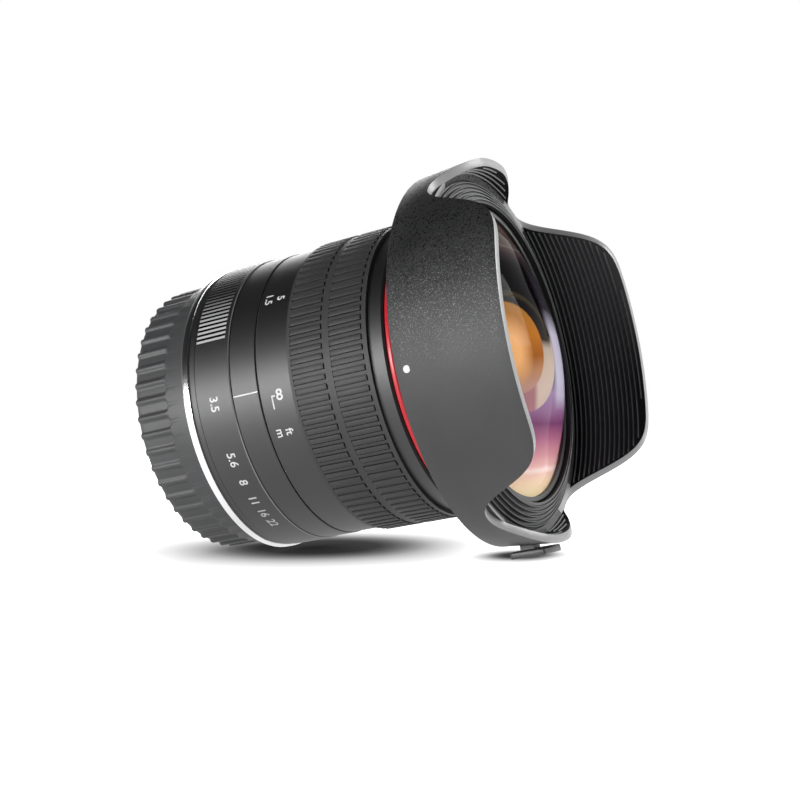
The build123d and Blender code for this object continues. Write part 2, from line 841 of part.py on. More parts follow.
# Rear cap: a cup with grooves round its outside and three lugs behind the bayonet's
cap_front = -open_gap
cap_rear = cap_front - cap_length
cap_inner = lug_radius + cap_gap
cap_radius = cap_inner + cap_wall
cap_front_radius = cap_radius - cap_taper
cap_lug_front = cap_front
cap_lug_rear = cap_lug_front - cap_lug_thickness
with BuildPart() as rear_cap:
    with BuildSketch():
        band(cap_rear, cap_rear + cap_base_thickness, 0, cap_inner)
        outline(
            (cap_rear, cap_inner),
            (cap_rear, cap_radius),
            (cap_rear + cap_groove_length, cap_radius),
            (cap_front, cap_front_radius),
            (cap_front, cap_inner),
        )
    revolve(axis=Axis.X)
    for lug_angle in spaced(lug_count):
        sector(
            cap_lug_rear, cap_lug_front, mount_tube_radius + open_gap, cap_inner + cap_wall / 2,
            lug_angle - lug_sweep / 2, lug_sweep,
        )
    groove_circle = cap_radius + cap_groove_radius - cap_groove_depth
    axial_rods(
        cap_rear, cap_rear + cap_groove_length, groove_circle,
        cap_groove_radius, spaced(cap_rib_count), Mode.SUBTRACT,
    )
rear_cap.part.label = "rear_cap"
export_step(rear_cap.part, "parts/rear_cap.step")

# Places of the glass in front of the iris, counted from the main tube's front
cup_rear = tube_front + cup_setback
front_rim = cup_rear + cup_length - cup_overlap
front_back_rim = front_rim - front_glass_rim_length
front_apex = front_rim + front_glass_bulge
second_rim = front_back_rim - second_glass_rim_length
second_back_rim = second_rim - second_glass_rim_length
third_front_rim = second_back_rim - element_gap
third_back_rim = third_front_rim - third_glass_rim_length
cell_rear = cam_place - cam_margin
blade_stack = iris_blade_count * iris_level_pitch
housing_rear = cell_rear - iris_plate_thickness - blade_stack - iris_ring_thickness - 4 * open_gap

# Front cell: guided in the main tube, with a wide cup for the front glass
cell_front = front_rim + cup_overlap
wide_cup_rear = bell_core_front + open_gap + seat_clearance
cell_stop = third_glass_edge - spacer_wall
groove_bottom = cell_radius - pin_reach - running_clearance
key_half = guide_pin_radius + running_clearance
with BuildPart() as front_cell:
    with BuildSketch():
        outline(
            (cell_rear, cell_stop),
            (cell_rear, cell_radius),
            (cup_rear, cell_radius),
            (cup_rear, cup_radius),
            (wide_cup_rear, cup_radius),
            (wide_cup_rear, wide_cup_radius),
            (cell_front, wide_cup_radius),
            (cell_front, front_glass_edge + seat_clearance),
            (front_back_rim, front_glass_edge + seat_clearance),
            (front_back_rim, second_glass_edge + seat_clearance),
            (second_back_rim, second_glass_edge + seat_clearance),
            (second_back_rim, third_glass_edge + seat_clearance),
            (third_back_rim, third_glass_edge + seat_clearance),
            (third_back_rim, cell_stop),
        )
    revolve(axis=Axis.X)
    with BuildSketch():
        band(
            cam_place - cam_window_half - focus_slide, cam_place + cam_window_half,
            groove_bottom, cell_radius + tube_wall,
        )
    revolve(axis=Axis.X, mode=Mode.SUBTRACT)
    with BuildSketch(radial_plane(guide_place, guide_pin_angle, groove_bottom)):
        Rectangle(2 * (key_half + focus_slide), 2 * key_half)
    extrude(amount=pin_reach + tube_wall, mode=Mode.SUBTRACT)
    axial_rods(
        cell_rear, housing_rear + cell_screw_length - rear_flange_thickness + open_gap,
        cell_screw_circle, cell_screw_radius + seat_clearance, cell_screw_angles, Mode.SUBTRACT,
    )
front_cell.part.label = "front_cell"
export_step(front_cell.part, "parts/front_cell.step")

with BuildPart() as front_element:
    with BuildSketch():
        element(
            front_apex, front_rim, front_glass_reach,
            front_back_rim + front_glass_hollow, front_back_rim, front_glass_back_reach,
            front_glass_edge,
        )
    revolve(axis=Axis.X)
front_element.part.label = "front_element"
export_step(front_element.part, "parts/front_element.step")

# Bezel that holds the front glass in its cup
bezel_start = cell_front + seat_clearance
with BuildPart() as front_bezel:
    with BuildSketch():
        band(bezel_start, bezel_start + bezel_length, front_glass_edge - bezel_lip, wide_cup_radius)
    revolve(axis=Axis.X)
front_bezel.part.label = "front_bezel"
export_step(front_bezel.part, "parts/front_bezel.step")

with BuildPart() as second_element:
    with BuildSketch():
        element(
            second_rim + second_glass_bulge, second_rim, second_glass_reach,
            second_back_rim + second_glass_hollow, second_back_rim, second_glass_back_reach,
            second_glass_edge,
        )
    revolve(axis=Axis.X)
second_element.part.label = "second_element"
export_step(second_element.part, "parts/second_element.step")

with BuildPart() as inner_retaining_ring:
    with BuildSketch():
        band(
            second_rim, second_rim + retainer_length,
            second_glass_edge - retainer_wall, second_glass_edge,
        )
    revolve(axis=Axis.X)
inner_retaining_ring.part.label = "inner_retaining_ring"
export_step(inner_retaining_ring.part, "parts/inner_retaining_ring.step")

with BuildPart() as inner_spacer:
    with BuildSketch():
        band(third_front_rim, second_back_rim, third_glass_reach + seat_clearance, third_glass_edge)
    revolve(axis=Axis.X)
inner_spacer.part.label = "inner_spacer"
export_step(inner_spacer.part, "parts/inner_spacer.step")

with BuildPart() as third_element:
    with BuildSketch():
        element(
            third_front_rim - third_glass_hollow, third_front_rim, third_glass_reach,
            third_back_rim + third_glass_hollow, third_back_rim, cell_stop - seat_clearance,
            third_glass_edge,
        )
    revolve(axis=Axis.X)
third_element.part.label = "third_element"
export_step(third_element.part, "parts/third_element.step")

# Iris housing: back plate with the pivot holes, wall with a window for the arm
plate_front_face = housing_rear + iris_plate_thickness
blade_start = plate_front_face + open_gap
blade_levels = [blade_start + level * iris_level_pitch for level in range(iris_blade_count)]
iris_ring_front = cell_rear - 2 * open_gap
iris_ring_rear = iris_ring_front - iris_ring_thickness
arm_half_angle = math.degrees(iris_arm_width / 2 / iris_housing_bore)
blade_angles = spaced(iris_blade_count, 360 / iris_blade_count / 2)
with BuildPart() as iris_housing:
    with BuildSketch():
        band(housing_rear, plate_front_face, iris_opening, iris_housing_radius)
        band(housing_rear, cell_rear, iris_housing_bore, iris_housing_radius)
    revolve(axis=Axis.X)
    axial_rods(
        plate_front_face - iris_pivot_seat + open_gap, plate_front_face, iris_pivot_circle,
        iris_pivot_radius + running_clearance, blade_angles, Mode.SUBTRACT,
    )
    sector(
        iris_ring_rear - open_gap, cell_rear,
        iris_housing_bore - overrun / 2, iris_housing_radius + overrun,
        drive_pin_angle - aperture_travel - arm_half_angle - window_margin_angle / 2,
        aperture_travel + 2 * arm_half_angle + window_margin_angle, Mode.SUBTRACT,
    )
    axial_rods(
        housing_rear, cell_rear, cell_screw_circle,
        cell_screw_radius + seat_clearance, cell_screw_angles, Mode.SUBTRACT,
    )
iris_housing.part.label = "iris_housing"
export_step(iris_housing.part, "parts/iris_housing.step")

# Iris drive ring: six arc slots and a long arm back to the aperture ring's pin
slot_inner = iris_actuator_circle - iris_actuator_radius - open_gap - iris_slot_margin
slot_outer = iris_actuator_circle + iris_actuator_radius + iris_slot_margin
slot_margin_angle = math.degrees((iris_actuator_radius + iris_slot_margin) / iris_actuator_circle)
actuator_side = iris_actuator_arm * math.sin(math.radians(iris_blade_swing))
actuator_out = iris_pivot_circle + iris_actuator_arm * math.cos(math.radians(iris_blade_swing))
actuator_turn = math.degrees(math.atan2(actuator_side, actuator_out))
iris_slot_sweep = aperture_travel - actuator_turn + 2 * slot_margin_angle
arm_rear = drive_pin_place - drive_pin_radius - 2 * open_gap
arm_foot = slot_outer + iris_slot_margin
arm_slot_radius = drive_pin_radius + running_clearance
iris_ring_middle = (iris_ring_rear + iris_ring_front) / 2
with BuildPart() as iris_drive_ring:
    with BuildSketch():
        band(iris_ring_rear, iris_ring_front, iris_ring_inner, iris_housing_bore - running_clearance)
    revolve(axis=Axis.X)
    for blade_angle in blade_angles:
        sector(
            iris_ring_rear, iris_ring_front, slot_inner, slot_outer,
            blade_angle - slot_margin_angle, iris_slot_sweep, Mode.SUBTRACT,
        )
    with BuildSketch(radial_plane(iris_ring_middle, drive_pin_angle, arm_foot)):
        Rectangle(iris_ring_thickness, iris_arm_width)
    extrude(amount=iris_arm_outer - arm_foot)
    with BuildSketch(radial_plane((arm_rear + iris_ring_front) / 2, drive_pin_angle, arm_inner)):
        Rectangle(iris_ring_front - arm_rear, iris_arm_width)
    extrude(amount=iris_arm_thickness)
    with BuildSketch(radial_plane(drive_pin_place - open_gap, drive_pin_angle, arm_inner)):
        SlotOverall(2 * (arm_slot_radius + 2 * open_gap), 2 * arm_slot_radius)
    extrude(amount=iris_arm_thickness, mode=Mode.SUBTRACT)
iris_drive_ring.part.label = "iris_drive_ring"
export_step(iris_drive_ring.part, "parts/iris_drive_ring.step")

# Iris blades: curved leaves, each on its own level, with a pivot pin behind and an actuator pin in front
blade_pin_end = plate_front_face - iris_pivot_seat + 2 * open_gap
for number, (level, blade_angle) in enumerate(zip(blade_levels, blade_angles), start=1):
    pivot = Vector(*around(blade_angle)) * iris_pivot_circle
    actuator = Vector(*around(blade_angle)) * iris_actuator_circle
    with BuildPart() as iris_blade:
        sector(
            level, level + iris_blade_thickness, iris_opening, blade_outer,
            blade_angle - iris_blade_sweep, iris_blade_sweep,
        )
        with BuildSketch(Plane.YZ.offset(level)) as head:
            with Locations((pivot.Y, pivot.Z)):
                Circle(iris_head_radius)
            with Locations((actuator.Y, actuator.Z)):
                Circle(iris_head_radius / 2 + iris_slot_margin)
        extrude(amount=iris_blade_thickness)
        axial_rods(blade_pin_end, level, iris_pivot_circle, iris_pivot_radius, (blade_angle,))
        axial_rods(level, iris_ring_front, iris_actuator_circle, iris_actuator_radius, (blade_angle,))
    iris_blade.part.label = f"iris_blade_{number}"
    export_step(iris_blade.part, f"parts/iris_blade_{number}.step")

# Rear cell: a tube behind the iris with a flange that screws to the housing
rear_cell_rear = housing_rear - rear_cell_length
stop_rear = housing_rear - rear_stop_length
pair_front_rim = stop_rear
pair_joint_rim = pair_front_rim - pair_front_rim_length
pair_back_rim = pair_joint_rim - pair_rear_rim_length
rear_back_rim = rear_cell_rear + rear_element_inset
rear_front_rim = rear_back_rim + rear_glass_rim_length
rear_tube_radius = rear_glass_edge + rear_cell_wall
rear_flange_radius = iris_housing_radius - rear_flange_margin
with BuildPart() as rear_cell:
    with BuildSketch():
        outline(
            (rear_cell_rear, rear_glass_edge + seat_clearance),
            (rear_cell_rear, rear_tube_radius),
            (housing_rear - rear_flange_thickness, rear_tube_radius),
            (housing_rear - rear_flange_thickness, rear_flange_radius),
            (housing_rear, rear_flange_radius),
            (housing_rear, pair_edge - rear_stop_lip),
            (stop_rear, pair_edge - rear_stop_lip),
            (stop_rear, pair_edge + seat_clearance),
            (rear_front_rim, pair_edge + seat_clearance),
            (rear_front_rim, rear_glass_edge + seat_clearance),
        )
    revolve(axis=Axis.X)
    axial_rods(
        housing_rear - rear_flange_thickness, housing_rear, cell_screw_circle,
        cell_screw_radius + seat_clearance, cell_screw_angles, Mode.SUBTRACT,
    )
rear_cell.part.label = "rear_cell"
export_step(rear_cell.part, "parts/rear_cell.step")

with BuildPart() as cell_screws:
    screw_seat = housing_rear - rear_flange_thickness
    axial_rods(
        screw_seat, screw_seat + cell_screw_length,
        cell_screw_circle, cell_screw_radius, cell_screw_angles,
    )
    axial_rods(
        screw_seat - cell_screw_head_length, screw_seat,
        cell_screw_circle, cell_screw_head_radius, cell_screw_angles,
    )
cell_screws.part.label = "cell_screws"
export_step(cell_screws.part, "parts/cell_screws.step")

# Cemented pair behind the iris and the ring that holds it
with BuildPart() as pair_front_element:
    with BuildSketch():
        element(
            pair_front_rim + pair_bulge, pair_front_rim, pair_reach,
            pair_joint_rim - pair_joint_bulge + seat_clearance, pair_joint_rim + seat_clearance, pair_reach,
            pair_edge,
        )
    revolve(axis=Axis.X)
pair_front_element.part.label = "pair_front_element"
export_step(pair_front_element.part, "parts/pair_front_element.step")

with BuildPart() as pair_rear_element:
    with BuildSketch():
        element(
            pair_joint_rim - pair_joint_bulge, pair_joint_rim, pair_reach,
            pair_back_rim - pair_back_bulge, pair_back_rim, pair_reach,
            pair_edge,
        )
    revolve(axis=Axis.X)
pair_rear_element.part.label = "pair_rear_element"
export_step(pair_rear_element.part, "parts/pair_rear_element.step")

with BuildPart() as pair_retaining_ring:
    with BuildSketch():
        band(pair_back_rim - pair_ring_length, pair_back_rim, pair_reach + seat_clearance, pair_edge)
    revolve(axis=Axis.X)
pair_retaining_ring.part.label = "pair_retaining_ring"
export_step(pair_retaining_ring.part, "parts/pair_retaining_ring.step")

# Rear element and its ring
with BuildPart() as rear_element:
    with BuildSketch():
        element(
            rear_front_rim + rear_glass_bulge, rear_front_rim, pair_edge - rear_stop_lip,
            rear_back_rim - rear_glass_bulge, rear_back_rim, rear_glass_reach,
            rear_glass_edge,
        )
    revolve(axis=Axis.X)
rear_element.part.label = "rear_element"
export_step(rear_element.part, "parts/rear_element.step")

with BuildPart() as rear_retaining_ring:
    with BuildSketch():
        band(rear_cell_rear, rear_back_rim, rear_glass_reach + seat_clearance, rear_glass_edge)
    revolve(axis=Axis.X)
rear_retaining_ring.part.label = "rear_retaining_ring"
export_step(rear_retaining_ring.part, "parts/rear_retaining_ring.step")
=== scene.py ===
import json
import math

import bpy
from mathutils import Matrix, Vector


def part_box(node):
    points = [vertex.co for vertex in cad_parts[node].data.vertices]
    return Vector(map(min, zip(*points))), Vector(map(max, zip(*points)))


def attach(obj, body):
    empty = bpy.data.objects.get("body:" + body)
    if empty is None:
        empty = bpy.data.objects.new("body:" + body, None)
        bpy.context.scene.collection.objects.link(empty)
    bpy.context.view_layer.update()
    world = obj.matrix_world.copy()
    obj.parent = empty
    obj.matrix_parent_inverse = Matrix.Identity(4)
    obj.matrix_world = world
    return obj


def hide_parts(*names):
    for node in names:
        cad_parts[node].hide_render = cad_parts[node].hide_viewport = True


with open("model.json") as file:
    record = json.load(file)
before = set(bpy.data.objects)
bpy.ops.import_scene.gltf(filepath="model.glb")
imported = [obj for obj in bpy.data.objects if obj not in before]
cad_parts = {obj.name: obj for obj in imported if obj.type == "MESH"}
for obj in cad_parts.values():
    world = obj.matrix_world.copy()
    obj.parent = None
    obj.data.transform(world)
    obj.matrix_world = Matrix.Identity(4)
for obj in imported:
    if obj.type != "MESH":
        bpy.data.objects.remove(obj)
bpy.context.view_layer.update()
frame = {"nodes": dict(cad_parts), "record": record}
bpy.ops.object.select_all(action="DESELECT")
for packed_material in list(bpy.data.materials):
    bpy.data.materials.remove(packed_material)

MM = 0.001
WELD = MM / 500
FULL_TURN = 2 * math.pi
QUARTER_TURN = math.pi / 2
TURNING_STEPS = 240
AXIS = {"center": (0, 0, 0), "axis": (1, 0, 0)}


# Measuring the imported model

def off_axis(point):
    """Distance of a point from the optical axis."""
    return math.hypot(point.y, point.z)


def measure(node):
    """Rear end, front end, bore and outer radius of a turned node."""
    points = [vertex.co for vertex in frame["nodes"][node].data.vertices]
    radii = [off_axis(point) for point in points]
    places = [point.x for point in points]
    return min(places), max(places), min(radii), max(radii)


def outwards(angle):
    """Direction away from the optical axis, at an angle counted from the top towards the scales."""
    return Vector((0, -math.sin(math.radians(angle)), math.cos(math.radians(angle))))


def angle_of(point):
    """Angle of a point round the optical axis, from the top towards the scales."""
    return math.degrees(math.atan2(-point.y, point.z)) % 360


def away(angle, middle):
    """Smallest difference between two angles."""
    return abs((angle - middle + 180) % 360 - 180)


# Working on one piece at a time

def adjust(thing, **settings):
    """Sets several of a thing's settings."""
    for setting, value in settings.items():
        setattr(thing, setting, value)
    return thing


def added(name, operator, **settings):
    """Adds a shape with one of Blender's operators and names it."""
    bpy.ops.object.select_all(action="DESELECT")
    operator(**settings)
    piece = bpy.context.object
    piece.name = name
    piece.data.name = name
    return piece


def to_edit():
    bpy.ops.object.mode_set(mode="EDIT")


def to_object():
    bpy.ops.object.mode_set(mode="OBJECT")


def pick_everything():
    """Selects the whole mesh, in edit mode."""
    bpy.ops.mesh.select_all(action="SELECT")


def start_point(name):
    """A single point at the origin in edit mode, ready to be drawn out."""
    piece = added(name, bpy.ops.mesh.primitive_plane_add, size=MM)
    to_edit()
    bpy.ops.mesh.select_mode(type="VERT")
    pick_everything()
    bpy.ops.mesh.merge(type="CENTER")
    return piece


def start_block(name, size, middle):
    """A block of a size, with its middle at a point, in edit mode."""
    piece = added(name, bpy.ops.mesh.primitive_cube_add, size=1, location=middle)
    piece.scale = size
    bpy.ops.object.transform_apply(location=True, rotation=True, scale=True)
    to_edit()
    return piece


def block(name, size, middle):
    piece = start_block(name, size, middle)
    to_object()
    return piece


def pick_faces(piece, wanted):
    """Selects the faces whose middle and normal pass a test, in edit mode."""
    bpy.ops.mesh.select_mode(type="FACE")
    bpy.ops.mesh.select_all(action="DESELECT")
    to_object()
    for face in piece.data.polygons:
        face.select = wanted(face.center, face.normal)
    to_edit()


def tidy_mesh():
    """Merges doubled points and turns every face outwards, in edit mode."""
    bpy.ops.mesh.select_mode(type="VERT")
    pick_everything()
    bpy.ops.mesh.remove_doubles(threshold=WELD)
    bpy.ops.mesh.normals_make_consistent(inside=False)


def use(piece):
    """Makes a piece the only one selected."""
    bpy.ops.object.select_all(action="DESELECT")
    piece.select_set(True)
    bpy.context.view_layer.objects.active = piece


def edit(piece):
    use(piece)
    to_edit()


def smooth(piece, angle=32):
    use(piece)
    bpy.ops.object.shade_smooth_by_angle(angle=math.radians(angle))


def apply_modifier(piece, kind, **settings):
    use(piece)
    bpy.ops.object.modifier_apply(modifier=adjust(piece.modifiers.new("work", kind), **settings).name)


def break_edges(piece, width, segments=2, angle=40):
    """Breaks every sharp edge of a piece."""
    apply_modifier(
        piece, "BEVEL", width=width, segments=segments, limit_method="ANGLE", angle_limit=math.radians(angle))


def scale_out(factor):
    """Scales what is selected away from the axis."""
    bpy.ops.transform.resize(value=(1, factor, factor), center_override=(0, 0, 0))


def cut_across(places):
    """Cuts new edges into the whole mesh at places along the axis, in edit mode."""
    for place in places:
        pick_everything()
        bpy.ops.mesh.bisect(plane_co=(place, 0, 0), plane_no=(1, 0, 0))


def draw_outline(name, points):
    """A closed outline through points, drawn out from a single one, in edit mode."""
    piece = start_point(name)
    here = points[0]
    bpy.ops.transform.translate(value=here)
    for there in points[1:] + points[:1]:
        step = tuple(new - old for old, new in zip(here, there))
        bpy.ops.mesh.extrude_vertices_move(TRANSFORM_OT_translate={"value": step})
        here = there
    pick_everything()
    bpy.ops.mesh.remove_doubles(threshold=WELD)
    return piece


def turned(name, section, steps=TURNING_STEPS, sweep=FULL_TURN):
    """A piece from the lathe: a closed section through the axis, spun round it."""
    piece = draw_outline(name, [(place, 0, radius) for place, radius in section])
    bpy.ops.mesh.spin(steps=steps, angle=sweep, **AXIS)
    tidy_mesh()
    to_object()
    return piece


def joined(pieces):
    """Joins pieces into the first one."""
    bpy.ops.object.select_all(action="DESELECT")
    for piece in pieces:
        piece.select_set(True)
    bpy.context.view_layer.objects.active = pieces[0]
    bpy.ops.object.join()
    return bpy.context.object


def finish_with(piece, *materials):
    """Gives a piece its material slots, in order."""
    while len(piece.data.materials) < len(materials):
        piece.data.materials.append(None)
    for slot, material in enumerate(materials):
        piece.data.materials[slot] = material
    return piece


def hand_over(piece, body, slot, *nodes):
    """Fixes a finished piece to its body and hides the nodes that it stands for. Its record slot is not used.
    """
    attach(piece, body)
    if nodes:
        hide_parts(*nodes)


# Finishes

class Pattern:
    """The nodes of a material or of the sky, with short names for what they share."""

    def __init__(self, tree, coordinates="Object"):
        self.nodes, self.links = tree.nodes, tree.links
        self.place = self.node("TexCoord").outputs[coordinates]

    def node(self, kind, **settings):
        return adjust(self.nodes.new("ShaderNode" + kind), **settings)

    def feed(self, socket, value):
        """Gives an input a link from another node, or a fixed value."""
        if isinstance(value, bpy.types.NodeSocket):
            self.links.new(value, socket)
        else:
            socket.default_value = value

    def maths(self, operation, *values):
        node = self.node("Math", operation=operation)
        for socket, value in zip(node.inputs, values):
            self.feed(socket, value)
        return node.outputs[0]

    def along(self, axis):
        """The coordinate along one axis."""
        apart = self.node("SeparateXYZ")
        self.feed(apart.inputs[0], self.place)
        return apart.outputs[axis]

    def stretched(self, scale, place=None):
        mapping = self.node("Mapping")
        mapping.inputs["Scale"].default_value = scale
        self.feed(mapping.inputs["Vector"], place or self.place)
        return mapping.outputs["Vector"]

    def noise(self, scale, detail=2.0, roughness=0.5, place=None):
        texture = self.node("TexNoise")
        for socket, value in zip(("Scale", "Detail", "Roughness"), (scale, detail, roughness)):
            texture.inputs[socket].default_value = value
        self.feed(texture.inputs["Vector"], place or self.place)
        return texture.outputs["Fac"]

    def ramp(self, value, stops):
        """Colours along a value. Each stop is a position and a colour, or a plain number for a grey."""
        node = self.node("ValToRGB")
        elements = node.color_ramp.elements
        elements[0].position, elements[-1].position = stops[0][0], stops[-1][0]
        for position, _ in stops[1:-1]:
            elements.new(position)
        for element, (_, colour) in zip(elements, stops):
            element.color = (*(colour if isinstance(colour, tuple) else (colour,) * 3), 1)
        self.feed(node.inputs["Fac"], value)
        return node.outputs["Color"]

    def spread(self, value, low, high, out_low=0, out_high=1):
        """A value's share of a span, from low to high, held at both ends."""
        node = self.node("MapRange")
        ends = {"From Min": low, "From Max": high, "To Min": out_low, "To Max": out_high}
        for socket, number in ends.items():
            node.inputs[socket].default_value = number
        self.feed(node.inputs["Value"], value)
        return node.outputs["Result"]

    def blended(self, share, first, second):
        """Mixes a colour towards a second one, which is a socket or a fixed colour."""
        node = self.node("Mix", data_type="RGBA")
        for socket, value in zip(("Factor", "A", "B"), (share, first, second)):
            self.feed(node.inputs[socket], value)
        return node.outputs["Result"]

    def distance(self, middle, scale):
        """Distance from a point, with each axis scaled."""
        moved = self.node("VectorMath", operation="SUBTRACT")
        moved.inputs[1].default_value = middle
        self.feed(moved.inputs[0], self.place)
        length = self.node("VectorMath", operation="LENGTH")
        self.feed(length.inputs[0], self.stretched(scale, moved.outputs[0]))
        return length.outputs["Value"]

    def round_patch(self, middle, reach, edge):
        """A soft-edged round patch: 1 inside, 0 outside. Middle and reach are across and up the element."""
        distance = self.distance((0, *middle), (0, 1 / reach[0], 1 / reach[1]))
        return self.spread(distance, 1 - edge, 1 + edge, 1, 0)

    def height_share(self, reach):
        """Height on a lens element, from 0 at its bottom to 1 at its top, drifting a little."""
        height = self.maths("MULTIPLY_ADD", self.noise(60, 2), 0.002, self.along("Z"))
        return self.spread(height, -reach, reach)


class Finish(Pattern):
    """A material and its shader."""

    def __init__(self, name):
        self.material = bpy.data.materials.new(name)
        self.material.use_nodes = True
        super().__init__(self.material.node_tree)
        self.shader = self.nodes["Principled BSDF"]

    def set(self, **values):
        """Sets the shader's inputs, whose names are written with _ for a space."""
        for socket, value in values.items():
            self.feed(self.shader.inputs[socket.replace("_", " ")], value)

    def cloud(self, colour, dark_share, scale, detail):
        """Paints the base a colour that drifts darker in soft clouds."""
        dark = tuple(part * dark_share for part in colour)
        self.set(Base_Color=self.ramp(self.noise(scale, detail), [(0.3, dark), (0.7, colour)]))

    def grain(self, height, strength, depth, below=None):
        """Fine relief, on top of what is below it."""
        bump = self.node("Bump")
        bump.inputs["Strength"].default_value = strength
        bump.inputs["Distance"].default_value = depth * MM
        self.feed(bump.inputs["Height"], height)
        if below is not None:
            self.feed(bump.inputs["Normal"], below)
        self.set(Normal=bump.outputs["Normal"])
        return bump.outputs["Normal"]


def satin_anodised(name, colour, roughness, metal=0.0, specular=0.8):
    """Bead-blasted anodised aluminium, with faint turning marks."""
    finish = Finish(name)
    blast = finish.noise(9000, 3)
    marks = finish.noise(1, 3, place=finish.stretched((14000, 60, 60)))
    finish.cloud(colour, 0.75, 60, 4)
    finish.grain(blast, 0.12, 0.02, finish.grain(marks, 0.06, 0.02))
    finish.set(
        Roughness=finish.spread(blast, 0.3, 0.7, roughness - 0.05, roughness + 0.06),
        Metallic=metal, Specular_IOR_Level=specular)
    return finish.material


def painted_rib_sheen(name):
    """Tops of the knurl's ribs, painted by height: grey low down, a painted highlight pale on the upper side
    and painted shade black at the very top.
    """
    finish = Finish(name)
    blast = finish.noise(9000, 3)
    finish.set(Base_Color=finish.ramp(finish.spread(finish.along("Z"), -0.033, 0.033), [
        (0.0, 0.16), (0.4, 0.26), (0.6, 0.6), (0.76, 0.6), (0.86, 0.06), (0.95, 0.01), (1.0, 0.01),
    ]))
    finish.grain(blast, 0.12, 0.02)
    finish.set(Roughness=finish.spread(blast, 0.3, 0.7, 0.33, 0.42), Metallic=0.25)
    return finish.material


def turned_metal(name, colour, roughness):
    """Bare metal with the fine rings that a lathe leaves."""
    finish = Finish(name)
    marks = finish.noise(1, 4, place=finish.stretched((16000, 120, 120)))
    finish.cloud(colour, 0.85, 90, 3)
    finish.grain(marks, 0.12, 0.02)
    finish.set(Roughness=finish.spread(marks, 0.3, 0.7, roughness, roughness + 0.08), Metallic=1.0)
    return finish.material


def moulded(name, colour, roughness, grain_scale, grain_strength, grain_depth, specular=0.5):
    """Moulded plastic or rubber with a fine etched grain."""
    finish = Finish(name)
    pits = finish.noise(grain_scale, 3, 0.6)
    finish.cloud(colour, 0.8, 70, 3)
    finish.grain(pits, grain_strength, grain_depth)
    finish.set(
        Roughness=finish.spread(pits, 0.35, 0.65, roughness - 0.08, roughness + 0.08),
        Specular_IOR_Level=specular)
    return finish.material


def hood_finish(name):
    """Dark plastic with a coarse crackle: black pits towards the top, painted shade darkening it towards the
    top, and raised specks painted pale towards the side as painted glints.
    """
    finish = Finish(name)
    crackle, specks, patches = finish.noise(2300, 3, 0.55), finish.noise(4200, 3, 0.6), finish.noise(90, 3)
    height = finish.along("Z")
    pits_zone = finish.spread(height, 0.008, 0.024)
    # The specks are relief all over; their pale colour is a painted glint, only in the band that the front
    # light falls on.
    glint_zone = finish.ramp(finish.spread(height, -0.03, 0.03), [
        (0.0, 0.0), (0.42, 0.08), (0.58, 1.0), (0.72, 0.8), (0.85, 0.15), (1.0, 0.1),
    ])
    pits = finish.maths("MULTIPLY", finish.spread(crackle, 0.54, 0.6), pits_zone)
    speck_glints = finish.maths("MULTIPLY", finish.spread(specks, 0.55, 0.66), glint_zone)
    # Painted shade: the ground colour goes from pale on the side to dark towards the top.
    pale = finish.ramp(patches, [(0.3, (0.033, 0.0335, 0.0345)), (0.7, (0.043, 0.0435, 0.045))])
    deep = finish.ramp(patches, [(0.3, (0.012, 0.0122, 0.013)), (0.7, (0.017, 0.0174, 0.0183))])
    ground = finish.blended(finish.spread(height, -0.002, 0.016), pale, deep)
    pitted = finish.blended(pits, ground, (0.003, 0.003, 0.003, 1))
    finish.set(
        Base_Color=finish.blended(speck_glints, pitted, (0.2, 0.2, 0.2, 1)),
        Roughness=finish.spread(patches, 0.3, 0.7, 0.5, 0.58),
        Specular_IOR_Level=finish.spread(pits, 0, 1, 0.45, 0.02))
    finish.grain(specks, 0.25, 0.04, finish.grain(crackle, 0.3, 0.06))
    return finish.material


def enamel(name, colour, roughness, coat=0.0):
    """Smooth paint with a slight orange peel."""
    finish = Finish(name)
    peel = finish.noise(1500, 2)
    finish.cloud(colour, 0.85, 200, 2)
    finish.grain(peel, 0.05, 0.02)
    finish.set(Roughness=finish.spread(peel, 0.3, 0.7, roughness, roughness + 0.05), Coat_Weight=coat)
    return finish.material


def coated_glass(name, colours, cover):
    """Coated glass with painted reflections: their colours change from the bottom of the element to its top.
    """
    finish = Finish(name)
    finish.set(
        Base_Color=finish.ramp(finish.height_share(0.027), colours), Alpha=cover, Roughness=0.03,
        Specular_IOR_Level=0.8)
    return finish.material


cap_plastic = moulded("cap_plastic", (0.055, 0.056, 0.058), 0.5, 6000, 0.25, 0.04)
hood_plastic = hood_finish("hood_plastic")
hood_inside = moulded("hood_inside", (0.003, 0.0032, 0.0035), 0.45, 5000, 0.12, 0.03, 0.3)
# Pale band on the hood's rim: a painted highlight.
hood_rim_highlight = moulded("hood_rim_highlight", (0.4, 0.402, 0.406), 0.35, 5000, 0.1, 0.02)
button_plastic = moulded("button_plastic", (0.03, 0.03, 0.031), 0.4, 6000, 0.15, 0.03)
baffle_plastic = moulded("baffle_plastic", (0.012, 0.0125, 0.014), 0.38, 6000, 0.12, 0.02)
# Paler lips and ridges of the black baffles: a painted highlight.
baffle_edge_highlight = moulded("baffle_edge_highlight", (0.09, 0.094, 0.1), 0.35, 6000, 0.1, 0.02)
grip_rubber = moulded("grip_rubber", (0.042, 0.042, 0.043), 0.55, 7000, 0.3, 0.04, 0.4)
black_metal = satin_anodised("black_metal", (0.0045, 0.0045, 0.005), 0.46)
inner_metal = satin_anodised("inner_metal", (0.008, 0.008, 0.009), 0.5)
chamfer_metal = satin_anodised("chamfer_metal", (0.3, 0.3, 0.31), 0.3, 0.5)
# Knurl groove floors: darker and duller than the ring, a painted shade in the recesses.
groove_painted_shade = satin_anodised("groove_painted_shade", (0.002, 0.002, 0.002), 0.7, 0.0, 0.2)
